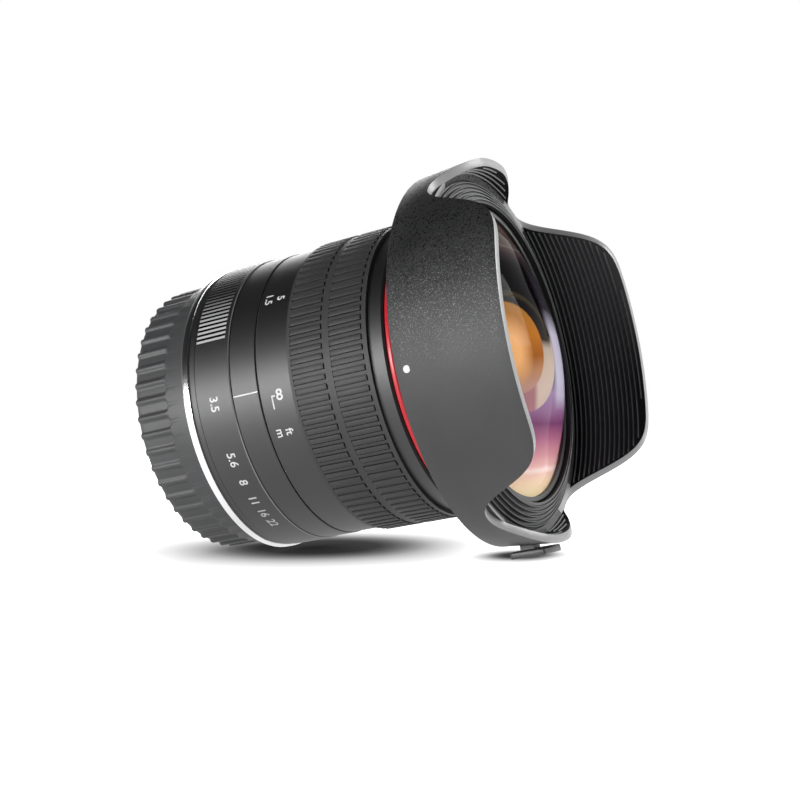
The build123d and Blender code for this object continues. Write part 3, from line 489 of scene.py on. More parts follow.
# Knurl rib tops: painted highlight and painted shade, by height round the ring.
knurl_painted_sheen = painted_rib_sheen("knurl_painted_sheen")
bright_metal = turned_metal("bright_metal", (0.86, 0.86, 0.87), 0.12)
steel = turned_metal("steel", (0.6, 0.6, 0.62), 0.25)
blade_steel = turned_metal("blade_steel", (0.05, 0.05, 0.055), 0.35)
brass = turned_metal("brass", (0.72, 0.52, 0.24), 0.25)
red_enamel = enamel("red_enamel", (0.62, 0.012, 0.025), 0.3, 0.15)
white_paint = enamel("white_paint", (0.82, 0.82, 0.82), 0.45)


# Rings of the barrel

LUG_ANGLES = (0, 120, 240)
LUG_HALF_SWEEP = 25


def draw_lugs(piece, rear, front, wall, height, in_reach):
    """Draws three bayonet lugs out of a wall, from the faces between two places, in edit mode."""
    pick_faces(piece, lambda middle, normal: (
        rear < middle.x < front and in_reach(off_axis(middle))
        and min(away(angle_of(middle), lug) for lug in LUG_ANGLES) < LUG_HALF_SWEEP
    ))
    bpy.ops.mesh.extrude_region_move()
    scale_out((wall + height) / wall)
    to_object()


def turn_mount_flange():
    """Bright mount plate with its bayonet tube and three lugs."""
    tube_wall, lug_start, lug_end, lug_height, chamfer = 1.6 * MM, 0.8 * MM, 2.4 * MM, 1.8 * MM, 0.12 * MM
    rear, front, bore, radius = measure("mount_flange")
    tube = bore + tube_wall
    lug_rear, lug_front = rear + lug_start, rear + lug_end
    plate = turned("mount_plate", [
        (rear, bore), (rear, tube), (lug_rear, tube), (lug_front, tube),
        (0, tube), (0, radius), (front, radius), (front, bore),
    ])
    edit(plate)
    draw_lugs(plate, lug_rear, lug_front, tube, lug_height, lambda out: out > tube - MM / 2)
    break_edges(plate, chamfer, 2)
    return finish_with(plate, bright_metal)


def turn_base_ring():
    """Fixed band behind the aperture ring, and the sleeve that the ring turns on."""
    clearance, band_width, chamfer = 0.05 * MM, 1.5 * MM, 0.12 * MM
    rear, front, bore, radius = measure("base_ring")
    sleeve, band_front = measure("aperture_ring")[2] - clearance, rear + band_width
    ring = turned("base_band", [
        (rear, bore), (rear, radius), (band_front, radius),
        (band_front, sleeve), (front, sleeve), (front, bore),
    ])
    break_edges(ring, chamfer, 1)
    return finish_with(ring, black_metal)


def slants(normal):
    """Whether a face slants along the axis, as a broken edge does."""
    return 0.2 < abs(normal.x) < 0.9


KNURL_STEPS = 360
KNURL_SECTORS = ((294, 66), (185, 264))
KNURL_DEPTH = 0.45 * MM


def turn_aperture_ring():
    """Aperture ring: two knurled grips, a polished front edge."""
    knurl_inset, knurl_end, chamfer, shallow = 0.3 * MM, 1.0 * MM, 0.18 * MM, 0.1 * MM
    rear, front, bore, radius = measure("aperture_ring")
    knurl_rear, knurl_front = rear + knurl_inset, front - knurl_end
    ring = turned("aperture_control_ring", [
        (rear, bore), (rear, radius), (knurl_rear, radius), (knurl_front, radius), (front - chamfer, radius),
        (front, radius - chamfer), (front, bore),
    ], KNURL_STEPS)
    finish_with(ring, black_metal, chamfer_metal, knurl_painted_sheen, groove_painted_shade)
    for face in ring.data.polygons:
        if face.center.x > front - chamfer and slants(face.normal):
            face.material_index = 1
    edit(ring)

    def knurled(middle):
        angle = angle_of(middle)
        in_sector = any((angle - first) % 360 <= (last - first) % 360 for first, last in KNURL_SECTORS)
        return knurl_rear < middle.x < knurl_front and off_axis(middle) > radius - MM / 2 and in_sector

    pick_faces(ring, lambda middle, normal: knurled(middle) and int(angle_of(middle)) % 2 == 0)
    bpy.ops.mesh.extrude_region_move()
    scale_out((radius - KNURL_DEPTH) / radius)
    to_object()
    # Rib tops take the painted highlight and shade; groove floors take the painted shade.
    for face in ring.data.polygons:
        if knurled(face.center):
            face.material_index = 2 if off_axis(face.center) > radius - shallow else 3
    return ring


PLAIN_RINGS = {
    "index_ring": ("index_mark_ring", 0.12 * MM, 1, black_metal),
    "red_ring": ("red_trim_ring", 0.42 * MM, 4, red_enamel),
    "front_bezel": ("front_glass_bezel", 0.1 * MM, 1, inner_metal),
}


def turn_plain_ring(node):
    """A ring with nothing but broken edges."""
    name, chamfer, segments, finish = PLAIN_RINGS[node]
    rear, front, bore, radius = measure(node)
    ring = turned(name, [(rear, bore), (rear, radius), (front, radius), (front, bore)])
    break_edges(ring, chamfer, segments)
    return finish_with(ring, finish)


def turn_focus_ring():
    """Focus ring: scale band, recessed seat for the rubber and a smooth nose."""
    nose_drop, chamfer = 0.3 * MM, 0.22 * MM
    rear, front, bore, radius = measure("focus_ring")
    grip_rear, grip_front, seat, _ = measure("focus_grip")
    nose = radius - nose_drop
    ring = turned("focus_scale_ring", [
        (rear, bore), (rear, radius - chamfer), (rear + chamfer, radius),
        (grip_rear - chamfer, radius), (grip_rear, radius - chamfer), (grip_rear, seat),
        (grip_front, seat), (grip_front, nose),
        (front - 2 * chamfer, nose), (front, nose - 2 * chamfer), (front, bore),
    ])
    finish_with(ring, black_metal, chamfer_metal)
    for face in ring.data.polygons:
        if slants(face.normal) and face.center.x < grip_rear + MM:
            face.material_index = 1
    return ring


GRIP_BARS = 96


def mould_focus_grip():
    """Rubber sleeve: one slice with its two bars, copied all the way round."""
    side_gap, bar_length, rear_edge, front_edge = 0.342 * MM, 7.7 * MM, 0.7 * MM, 1.0 * MM
    field_drop, moat, moat_width, bar_height, round_over, crown = (
        0.22 * MM, 0.3 * MM, 0.2 * MM, 0.52 * MM, 0.1 * MM, 0.05 * MM)
    rear, front, seat, radius = measure("focus_grip")
    field = radius - field_drop
    width = 2 * math.tan(math.pi / GRIP_BARS) * field
    sleeve = start_block(
        "focus_grip_rubber", (front - rear, width, field - seat), ((rear + front) / 2, 0, (seat + field) / 2))
    pick_faces(sleeve, lambda middle, normal: normal.z < -0.5)
    bpy.ops.transform.resize(value=(1, seat / field, 1))
    pick_faces(sleeve, lambda middle, normal: abs(normal.y) > 0.5)
    bpy.ops.mesh.delete(type="ONLY_FACE")
    fields = [
        (bar_rear - side_gap, bar_rear + bar_length + side_gap)
        for bar_rear in (rear + rear_edge, front - front_edge - bar_length)
    ]
    cut_across(fields[0] + fields[1])
    pick_faces(sleeve, lambda middle, normal: (
        normal.z > 0.5 and any(first < middle.x < last for first, last in fields)))
    bpy.ops.mesh.inset(thickness=side_gap, use_individual=True)
    bpy.ops.mesh.extrude_region_move(TRANSFORM_OT_translate={"value": (0, 0, -moat)})
    bpy.ops.mesh.inset(thickness=moat_width, use_individual=True)
    bpy.ops.mesh.extrude_region_move(TRANSFORM_OT_translate={"value": (0, 0, bar_height)})
    bpy.ops.mesh.inset(thickness=round_over, use_individual=True)
    bpy.ops.transform.translate(value=(0, 0, crown))
    pick_everything()
    bpy.ops.mesh.spin(steps=GRIP_BARS, dupli=True, angle=FULL_TURN, **AXIS)
    tidy_mesh()
    to_object()
    return finish_with(sleeve, grip_rubber)


def turn_front_barrel():
    """Front barrel: hub, neck, flared bell and the groove that the hood's lugs run in."""
    neck_wall, neck_length, flare_length, bell_wall = 2.3 * MM, 1.05 * MM, 4.1 * MM, 2.4 * MM
    core_wall, floor_offset, core_setback, clearance = 1.6 * MM, 2.2 * MM, 3.35 * MM, 0.02 * MM
    groove_start, groove_end, groove_depth, chamfer = 1.75 * MM, 3.45 * MM, 1.1 * MM, 0.15 * MM
    rear, front, bore, radius = measure("front_barrel")
    _, red_front, red_bore, _ = measure("red_ring")
    hub, neck, cone_start = red_bore - clearance, bore + neck_wall, red_front + neck_length
    cone_end, inner, core = cone_start + flare_length, radius - bell_wall, bore + core_wall
    floor, core_front = red_front + floor_offset, front - core_setback
    hood_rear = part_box("petal_hood")[0].x
    groove_rear, groove_front = hood_rear + groove_start, hood_rear + groove_end
    groove = radius - groove_depth
    barrel = turned("front_barrel_bell", [
        (rear, bore), (rear, hub), (red_front, hub), (red_front, neck), (cone_start, neck),
        (cone_end, radius), (groove_rear, radius), (groove_rear, groove), (groove_front, groove),
        (groove_front, radius), (front, radius), (front, inner), (floor + flare_length, inner),
        (floor, core), (core_front, core), (core_front, bore),
    ])
    break_edges(barrel, chamfer, 2)
    return finish_with(barrel, inner_metal)


STEP_COUNT = 5


def turn_stepped_ring():
    """Five terraces that fall away outwards from the glass, each with a fine lip whose front face is coloured
    paler as a painted highlight.
    """
    drop, lip, lip_height, first_height, chamfer = 0.45 * MM, 0.22 * MM, 0.3 * MM, 0.1 * MM, 0.05 * MM
    painted_share, rear_clear = 0.82, 0.2 * MM
    rear, front, inner, outer = measure("stepped_ring")
    width = (outer - inner) / STEP_COUNT
    section = [(rear, inner)]
    for step in range(STEP_COUNT):
        top = front - step * drop
        near, far = inner + step * width, inner + (step + 1) * width
        section += [
            (top - (lip_height if step else first_height), near), (top - lip_height, far - 2 * lip),
            (top, far - lip), (top, far),
        ]
    section.append((rear, outer))
    ring = turned("stepped_baffle_ring", section)
    finish_with(ring, baffle_plastic, baffle_edge_highlight)
    for face in ring.data.polygons:
        along = (off_axis(face.center) - inner) / width % 1
        if face.normal.x > 0.9 and along > painted_share and face.center.x > rear + rear_clear:
            face.material_index = 1
    break_edges(ring, chamfer, 1)
    return ring


for make, angle, body, slot, node in (
    (turn_mount_flange, 32, "barrel", "bright_metal", "mount_flange"),
    (turn_base_ring, 32, "barrel", "black_metal", "base_ring"),
    (turn_aperture_ring, 25, "aperture_ring", "black_metal", "aperture_ring"),
    (None, 32, "barrel", "black_metal", "index_ring"),
    (turn_focus_ring, 25, "focus_ring", "black_metal", "focus_ring"),
    (mould_focus_grip, 35, "focus_ring", "grip_rubber", "focus_grip"),
    (None, 60, "barrel", "red_enamel", "red_ring"),
    (turn_front_barrel, 32, "barrel", "inner_metal", "front_barrel"),
    (turn_stepped_ring, 25, "barrel", "baffle_plastic", "stepped_ring"),
):
    piece = make() if make else turn_plain_ring(node)
    smooth(piece, angle)
    hand_over(piece, body, slot, node)


# Rear cap

CAP_RIBS = 50
CAP_STEPS_PER_RIB = 12
SCALLOP_DEPTH = 0.55 * MM
SCALLOP_LENGTH = 8.6 * MM
SCALLOP_ROWS = (0.15, 0.35, 0.55, 0.7, 0.8, 0.88, 0.91, 0.935, 0.955, 0.97, 0.985, 1.0)


def scallop_share(along, across):
    """How deep a scoop is, from its open rear end and across one rib pitch, both as shares."""
    half_width, slope, end_start = 0.42, 0.35, 0.88
    side = abs((across + 0.5) % 1 - 0.5) / half_width
    end = max(0.0, (along - end_start) / (1 - end_start))
    depth = min(1.0, max(0.0, (1 - math.hypot(side, end)) / slope))
    return depth * depth * (3 - 2 * depth)


def mould_rear_cap():
    """Rear cap: a cup with scalloped sides, its lugs inside, closed at the back."""
    taper, wall, floor_thickness, edge = 0.3 * MM, 1.9 * MM, 1.8 * MM, 0.5 * MM
    dish_depth, dish_inner, dish_outer = 0.5 * MM, 5 * MM, 5.4 * MM
    lug_setback, lug_length, lug_height = 0.3 * MM, 1.4 * MM, 2.6 * MM
    rear, front, _, radius = measure("rear_cap")
    front_radius, bore, floor = radius - taper, radius - wall, rear + floor_thickness
    section = [
        (floor, 0), (rear + dish_depth, 0), (rear + dish_depth, radius - dish_inner),
        (rear, radius - dish_outer), (rear, radius - edge),
        (rear + edge * 0.3, radius - edge * 0.3), (rear + edge, radius),
    ]
    section += [(rear + share * SCALLOP_LENGTH, radius) for share in SCALLOP_ROWS]
    section += [(front - taper, front_radius), (front, front_radius - taper), (front, bore), (floor, bore)]
    cap = turned("ribbed_rear_cap", section, CAP_RIBS * CAP_STEPS_PER_RIB)
    for vertex in cap.data.vertices:
        out = off_axis(vertex.co)
        along = (vertex.co.x - rear) / SCALLOP_LENGTH
        if out > radius - edge * 1.2 and along < 1.02:
            sink = SCALLOP_DEPTH * scallop_share(along, angle_of(vertex.co) / 360 * CAP_RIBS)
            vertex.co.y *= (out - sink) / out
            vertex.co.z *= (out - sink) / out
    lug_front = front - lug_setback
    lug_rear = lug_front - lug_length
    edit(cap)
    cut_across((lug_rear, lug_front))
    draw_lugs(cap, lug_rear, lug_front, bore, -lug_height, lambda out: out < bore + MM / 2)
    finish_with(cap, cap_plastic)
    smooth(cap, 50)
    return cap


hand_over(mould_rear_cap(), "rear_cap", "cap_plastic", "rear_cap")


# Petal hood

RIM_STATIONS = (
    (0, 66.2), (5, 66.2), (9.7, 66.05), (16.1, 64.97), (22.1, 63.25), (26.6, 61.5), (30, 60.5), (33, 60.2),
    (36, 60.3), (39, 61.1), (41, 62.3), (43, 64.2), (45, 66.4), (47, 69.0), (49.5, 72.0), (52, 74.6),
    (55, 76.6), (58.5, 77.8), (62, 78.3), (66, 78.45), (75, 78.5), (90, 78.55),
)
RIM_EASING = (-2.4, -1.6, -0.8, 0, 0.8, 1.6, 2.4)
HOOD_STEPS = 120
WALL_ROWS = 8
HOOD_WALL = 1.8 * MM
RIDGE_SLOPE = 0.0835


def rim_place(angle):
    """How far forward the hood's rim reaches at an angle, straight between the stations."""
    quarter = away(angle, 0)
    quarter = min(quarter, 180 - quarter)
    for (first, low), (last, high) in zip(RIM_STATIONS, RIM_STATIONS[1:]):
        if first <= quarter <= last:
            share = (quarter - first) / (last - first)
            return (low + (high - low) * share) * MM
    return RIM_STATIONS[-1][1] * MM


def smooth_rim(angle):
    """The rim's place, averaged over a few degrees, so that no corner shows."""
    return sum(rim_place(angle + offset) for offset in RIM_EASING) / len(RIM_EASING)


def mould_hood():
    """Petal hood: a quarter with straight walls, its rim drawn back column by column, then mirrored."""
    clearance, rear_wall, band_length, lip_depth = 0.05 * MM, 2.62 * MM, 4.8 * MM, 0.5 * MM
    low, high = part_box("petal_hood")
    rear, front = low.x, high.x
    _, lip, _, bell = measure("front_barrel")
    bore = bell + clearance
    rear_radius = bore + rear_wall
    slope = (high.y - rear_radius) / (front - rear)
    fixed, inside_start = rear + band_length, lip + lip_depth

    def outer(place):
        return rear_radius + slope * (place - rear)

    rows = [fixed + (front - fixed) * row / WALL_ROWS for row in range(1, WALL_ROWS + 1)]
    section = [(lip, bore), (rear, bore), (rear, outer(rear)), (fixed, outer(fixed))]
    section += [(place, outer(place)) for place in rows]
    section += [(place, outer(place) - HOOD_WALL) for place in reversed(rows)]
    section += [(inside_start, outer(inside_start) - HOOD_WALL)]
    hood = turned("petal_hood_shell", section, HOOD_STEPS, QUARTER_TURN)
    for vertex in hood.data.vertices:
        out = off_axis(vertex.co)
        is_outer = out > outer(vertex.co.x) - HOOD_WALL / 2
        start = fixed if is_outer else inside_start
        if vertex.co.x > start + MM / 100:
            share = (vertex.co.x - start) / (front - start)
            moved = start + (smooth_rim(angle_of(vertex.co)) - start) * share
            wanted = outer(moved) - (0 if is_outer else HOOD_WALL)
            vertex.co = (moved, vertex.co.y * wanted / out, vertex.co.z * wanted / out)
    apply_modifier(hood, "MIRROR", use_axis=(False, True, True), use_clip=True, merge_threshold=MM / 200)
    edit(hood)
    tidy_mesh()
    to_object()
    return hood


def cut_button_slot(hood):
    """Slot under the hood that the button's neck slides in."""
    size, setback, depth = (5.9 * MM, 4.4 * MM, 6 * MM), 5.6 * MM, 41.5 * MM
    slot = block("slot", size, (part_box("hood_release_button")[0].x + setback, 0, -depth))
    apply_modifier(hood, "BOOLEAN", object=slot, operation="DIFFERENCE", solver="EXACT")
    bpy.data.objects.remove(slot)


def dress_hood(hood):
    """Black inside, and a pale band on the rim: a painted highlight."""
    rim_depth, chamfer = 1.2 * MM, 0.22 * MM
    finish_with(hood, hood_plastic, hood_inside, hood_rim_highlight)
    for face in hood.data.polygons:
        middle, normal = face.center, face.normal
        facing = (middle.y * normal.y + middle.z * normal.z) / off_axis(middle)
        if facing < -0.5:
            face.material_index = 1
        elif normal.x > 0.15 and facing < 0.6 and middle.x > smooth_rim(angle_of(middle)) - rim_depth:
            face.material_index = 2
    break_edges(hood, chamfer, 2, 50)
    smooth(hood, 35)


hood = mould_hood()
cut_button_slot(hood)
dress_hood(hood)
hand_over(hood, "hood", "hood_plastic", "petal_hood")


def last_angle_behind(place):
    """Largest angle from the top at which the hood's rim is still behind a place."""
    return max((angle for angle in range(91) if smooth_rim(angle) < place), default=0)


def first_angle_behind(place):
    """Smallest angle from the top at which the rim falls behind a place, on a short petal."""
    return min((angle for angle in range(34) if smooth_rim(angle) < place), default=0)


def draw_ridge(name, place, radius, start, sweep, steps):
    """One fine ridge: a small triangle spun through part of a turn."""
    height, half = 0.3 * MM, 0.2 * MM
    out = outwards(start)
    ridge = draw_outline(name, [
        Vector((place - half, 0, 0)) + out * radius,
        Vector((place, 0, 0)) + out * (radius - height),
        Vector((place + half, 0, 0)) + out * radius,
    ])
    bpy.ops.mesh.edge_face_add()
    bpy.ops.mesh.spin(steps=steps, angle=-math.radians(sweep), **AXIS)
    tidy_mesh()
    to_object()
    return ridge


RIDGE_COUNT = 15


def turn_baffle_lines():
    """Fine ridges inside the petals, each ending short of the rim and clear of the button's plate, coloured
    paler as a painted highlight.
    """
    first, pitch, margin, bed = 61.9 * MM, 1.12 * MM, 0.9 * MM, 0.05 * MM
    button_clear, button_gap, least_reach, end_gap = 65.0 * MM, 7, 5, 0.5
    _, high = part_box("petal_hood")
    long_ridges, short_ridges = [], []
    for number in range(RIDGE_COUNT):
        place = first + number * pitch
        radius = high.y - HOOD_WALL - (high.x - place) * RIDGE_SLOPE + bed
        start = last_angle_behind(place + margin) + end_gap
        long_ridges.append(draw_ridge(f"ridge_{number}", place, radius, start, 180 - 2 * start, 90))
        reach = first_angle_behind(place + margin) - end_gap
        if reach <= least_reach:
            continue
        arcs = [(-reach, 2 * reach, 30)]
        if place > button_clear:
            arcs.append((180 - reach, 2 * reach, 30))
        else:
            arcs += [(begin, reach - button_gap, 15) for begin in (180 - reach, 180 + button_gap)]
        for side, arc in enumerate(arcs):
            short_ridges.append(draw_ridge(f"short_{number}_{side}", place, radius, *arc))
    lines = joined(long_ridges)
    apply_modifier(lines, "MIRROR", use_axis=(False, True, False), merge_threshold=WELD)
    lines = joined([lines] + short_ridges)
    lines.name = "hood_baffle_lines"
    finish_with(lines, baffle_edge_highlight)
    smooth(lines, 30)
    return lines


hand_over(turn_baffle_lines(), "hood", "baffle_plastic")


def press_index_dot():
    """White dot pressed into the hood's side."""
    depth, sunk, chamfer = 0.4 * MM, 0.15 * MM, 0.08 * MM
    low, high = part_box("hood_index_dot")
    middle = (low + high) / 2
    angle = angle_of(middle)
    up, out = Vector((1, 0, 0)), outwards(angle)
    top = max(vertex.co.dot(out) for vertex in frame["nodes"]["hood_index_dot"].data.vertices)
    dot = added(
        "hood_dot_paint", bpy.ops.mesh.primitive_cylinder_add,
        vertices=32, radius=(high - low).x / 2, depth=depth)
    spot = out * (top - sunk) + up * middle.x
    dot.data.transform(Matrix.Translation(spot) @ Matrix((up.cross(out), up, out)).transposed().to_4x4())
    break_edges(dot, chamfer, 2)
    finish_with(dot, white_paint)
    smooth(dot)
    return dot


hand_over(press_index_dot(), "hood", "white_paint", "hood_index_dot")


def mould_button():
    """Release button: a ridged pad outside, a neck and a plate inside the wall."""
    pad_length, pad_width, pad_thickness = 8 * MM, 10 * MM, 1.7 * MM
    rim, dish, rounding = 0.8 * MM, 0.35 * MM, 0.45 * MM
    ridge_size, ridge_edge = (0.6 * MM, 7.4 * MM, 0.5 * MM), 0.15 * MM
    ridge_first, ridge_pitch, ridge_height = 1.9 * MM, 1.4 * MM, 0.32 * MM
    neck_size, neck_place, neck_height = (3 * MM, 4 * MM, 3.7 * MM), 2.9 * MM, 3.45 * MM
    plate_size, plate_place, plate_depth = (5 * MM, 6.8 * MM, 0.8 * MM), 3.5 * MM, 0.4 * MM
    low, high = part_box("hood_release_button")
    pad = start_block(
        "release_button_pad", (pad_length, pad_width, pad_thickness),
        (low.x + pad_length / 2, 0, low.z + pad_thickness / 2))
    pick_faces(pad, lambda middle, normal: normal.z < -0.5)
    bpy.ops.mesh.inset(thickness=rim)
    bpy.ops.transform.translate(value=(0, 0, dish))
    to_object()
    break_edges(pad, rounding, 3)
    parts = [pad]
    for number in range(4):
        middle = (low.x + ridge_first + ridge_pitch * number, 0, low.z + ridge_height)
        ridge = block(f"button_ridge_{number}", ridge_size, middle)
        break_edges(ridge, ridge_edge, 2)
        parts.append(ridge)
    parts.append(block("button_neck", neck_size, (low.x + neck_place, 0, low.z + neck_height)))
    parts.append(block("button_plate", plate_size, (low.x + plate_place, 0, high.z - plate_depth)))
    button = joined(parts)
    finish_with(button, button_plastic)
    smooth(button)
    return button


hand_over(mould_button(), "hood_release", "hood_plastic", "hood_release_button")


# Glass

def sphere_face(apex, rim, reach, count):
    """Points of a spherical face from its rim to the axis."""
    sag = apex - rim
    sphere = (reach**2 + sag**2) / (2 * abs(sag))
    centre = apex - math.copysign(sphere, sag)
    radii = [reach * (1 - number / count) for number in range(count + 1)]
    return [(centre + math.copysign(math.sqrt(sphere**2 - radius**2), sag), radius) for radius in radii]


def ground_element(name, node, rim_length, bulge, front_flat, hollow, back_flat, coating):
    """A lens element: two spherical faces, a flat round each of them and a ground edge."""
    face_points, steps = 24, 180
    rear, _, _, edge = measure(node)
    rim = rear + rim_length
    face = sphere_face(rim + bulge, rim, edge - front_flat, face_points)
    back = sphere_face(rear + hollow, rear, edge - back_flat, face_points)
    glass = turned(name, face + list(reversed(back)) + [(rear, edge), (rim, edge)], steps)
    finish_with(glass, coating)
    smooth(glass, 30)
    return glass


GLASS_REACH = 0.031
IMAGE_MIDDLE = (-0.011, -0.0012)
# Painted reflections on the front glass, from its bottom to its top.
FRONT_REFLECTION_COLOURS = [
    (0.0, (0.78, 0.6, 0.34)), (0.024, (0.88, 0.72, 0.45)), (0.065, (0.88, 0.63, 0.43)),
    (0.09, (0.8, 0.53, 0.43)), (0.103, (0.92, 0.7, 0.65)), (0.118, (0.74, 0.42, 0.4)),
    (0.15, (0.6, 0.27, 0.3)), (0.205, (0.36, 0.12, 0.21)), (0.25, (0.17, 0.05, 0.13)),
    (0.29, (0.25, 0.12, 0.24)), (0.35, (0.3, 0.2, 0.34)), (0.42, (0.02, 0.015, 0.03)),
    (0.6, (0.002, 0.001, 0.003)), (0.81, (0.002, 0.001, 0.0015)), (0.847, (0.02, 0.009, 0.011)),
    (0.874, (0.05, 0.03, 0.026)), (0.882, (0.094, 0.076, 0.072)), (0.892, (0.06, 0.04, 0.034)),
    (0.935, (0.055, 0.034, 0.027)), (1.0, (0.12, 0.09, 0.08)),
]
LAVENDER_REFLECTION = [
    (0.0, 0), (0.29, 0), (0.34, 0.8), (0.4, 1), (0.56, 0.9), (0.62, 0.3), (0.65, 0.05), (1.0, 0),
]
IMAGE_EDGE = [
    (0.0, (0.6, 0.46, 0.4)), (0.45, (0.5, 0.4, 0.33)), (0.52, (0.4, 0.32, 0.26)),
    (0.55, (0.03, 0.02, 0.012)), (0.65, (0.035, 0.024, 0.01)), (1.0, (0.045, 0.032, 0.012)),
]
IMAGE_COLOURS = [
    (0.0, (0.6, 0.46, 0.4)), (0.37, (0.55, 0.42, 0.36)), (0.452, (0.49, 0.38, 0.3)),
    (0.505, (0.4, 0.32, 0.26)), (0.535, (0.02, 0.013, 0.008)), (0.63, (0.003, 0.002, 0.003)),
    (1.0, (0.003, 0.002, 0.003)),
]
DISC_COLOURS = [
    (0.0, (0.45, 0.28, 0.24)), (0.38, (0.45, 0.25, 0.2)), (0.43, (0.42, 0.2, 0.1)),
    (0.48, (0.3, 0.09, 0.012)), (0.55, (0.42, 0.14, 0.014)), (0.65, (0.34, 0.15, 0.025)),
    (1.0, (0.34, 0.15, 0.03)),
]
FRONT_COVER = [
    (0.0, 1), (0.58, 1), (0.66, 0.95), (0.8, 0.95), (0.86, 1), (1.0, 1),
]
# Painted reflections on the second element, from its bottom to its top.
SECOND_REFLECTION_COLOURS = [
    (0.0, (0.5, 0.42, 0.33)), (0.3, (0.45, 0.38, 0.3)), (0.5, (0.4, 0.34, 0.28)),
    (0.56, (0.05, 0.04, 0.025)), (0.75, (0.012, 0.01, 0.008)), (0.86, (0.02, 0.015, 0.01)),
    (0.93, (0.09, 0.06, 0.035)), (1.0, (0.1, 0.07, 0.04)),
]


def front_painted_reflections(name):
    """Front glass painted with reflections: brown and black violet above, magenta and cream below, lavender
    where the dome turns away. In them is a painted image of the elements behind, a cream disc with an amber
    one and its heart, and a faint emission gives a painted glow."""
    finish = Finish(name)
    up, across = finish.height_share(GLASS_REACH), finish.along("Y")
    band = finish.maths("MULTIPLY", finish.spread(across, 0.003, 0.0065), finish.ramp(up, LAVENDER_REFLECTION))
    base = finish.blended(band, finish.ramp(up, FRONT_REFLECTION_COLOURS), (0.5, 0.47, 0.58, 1))
    image = finish.round_patch(IMAGE_MIDDLE, (0.0165, 0.0128), 0.015)
    core = finish.round_patch(IMAGE_MIDDLE, (0.0152, 0.0116), 0.04)
    disc = finish.round_patch((-0.0138, -0.0005), (0.0126, 0.0097), 0.02)
    heart = finish.round_patch((-0.0146, -0.0012), (0.0058, 0.0056), 0.45)
    near_side = finish.spread(across, -0.0055, -0.0075)
    low_side = finish.spread(finish.along("Z"), -0.004, -0.007)
    inside = finish.blended(core, finish.ramp(up, IMAGE_EDGE), finish.ramp(up, IMAGE_COLOURS))
    inside = finish.blended(finish.maths("MULTIPLY", near_side, low_side), inside, (0.36, 0.17, 0.19, 1))
    inside = finish.blended(disc, inside, finish.ramp(up, DISC_COLOURS))
    inside = finish.blended(heart, inside, (0.82, 0.42, 0.17, 1))
    colour = finish.blended(image, base, inside)
    # Painted glow: the painted colours also give off a little light.
    finish.set(
        Base_Color=colour, Emission_Color=colour, Emission_Strength=0.22,
        Alpha=finish.ramp(up, FRONT_COVER), Roughness=0.05, Specular_IOR_Level=0.01)
    return finish.material


def second_painted_reflections(name):
    """Second element, painted with reflections: an amber disc with a peach heart, olive above it and cream
    beside and below it.
    """
    finish = Finish(name)
    up = finish.height_share(0.0143)
    disc = finish.round_patch((-0.002, 0.0015), (0.0078, 0.0082), 0.04)
    heart = finish.round_patch((-0.0045, 0.0), (0.0038, 0.0052), 0.35)
    amber = finish.ramp(up, [(0.3, (0.75, 0.42, 0.2)), (0.55, (0.65, 0.27, 0.03)), (0.8, (0.6, 0.3, 0.06))])
    with_disc = finish.blended(disc, finish.ramp(up, SECOND_REFLECTION_COLOURS), amber)
    finish.set(
        Base_Color=finish.blended(heart, with_disc, (0.8, 0.5, 0.26, 1)), Roughness=0.08,
        Specular_IOR_Level=0.4)
    return finish.material


front_glass = ground_element(
    "front_glass", "front_element", 1.6 * MM, 9.2 * MM, 0.5 * MM, 8.3 * MM, 12.5 * MM,
    front_painted_reflections("front_reflection_paint"))
hand_over(front_glass, "optical_unit", "coated_glass", "front_element")
second_glass = ground_element(
    "second_glass", "second_element", 2.5 * MM, 7.0 * MM, 2.2 * MM, 6.9 * MM, 5.0 * MM,
    second_painted_reflections("second_reflection_paint"))
hand_over(second_glass, "optical_unit", "inner_glass", "second_element")
bezel = turn_plain_ring("front_bezel")
smooth(bezel)
hand_over(bezel, "optical_unit", "inner_metal", "front_bezel")


# Markings

def paint_text(name, words, place, angle, size, ring, turn=0.0):
    """White characters on a ring that turns, wrapped round it."""
    weight, paint = 0.015, 0.02 * MM
    radius = measure(ring)[3]
    text = added(name, bpy.ops.object.text_add)
    adjust(text.data, body=words, size=size, align_x="CENTER", align_y="CENTER")
    adjust(text.data, offset=weight * size, extrude=paint)
    text.rotation_euler = (0, 0, turn)
    bpy.ops.object.convert(target="MESH")
    mark = bpy.context.object
    bpy.ops.object.transform_apply(location=True, rotation=True, scale=True)
    for vertex in mark.data.vertices:
        out = outwards(angle + math.degrees(vertex.co.x / radius))
        vertex.co = out * (radius + vertex.co.z) + Vector((place + vertex.co.y, 0, 0))
    finish_with(mark, white_paint)
    hand_over(mark, ring, "white_paint")


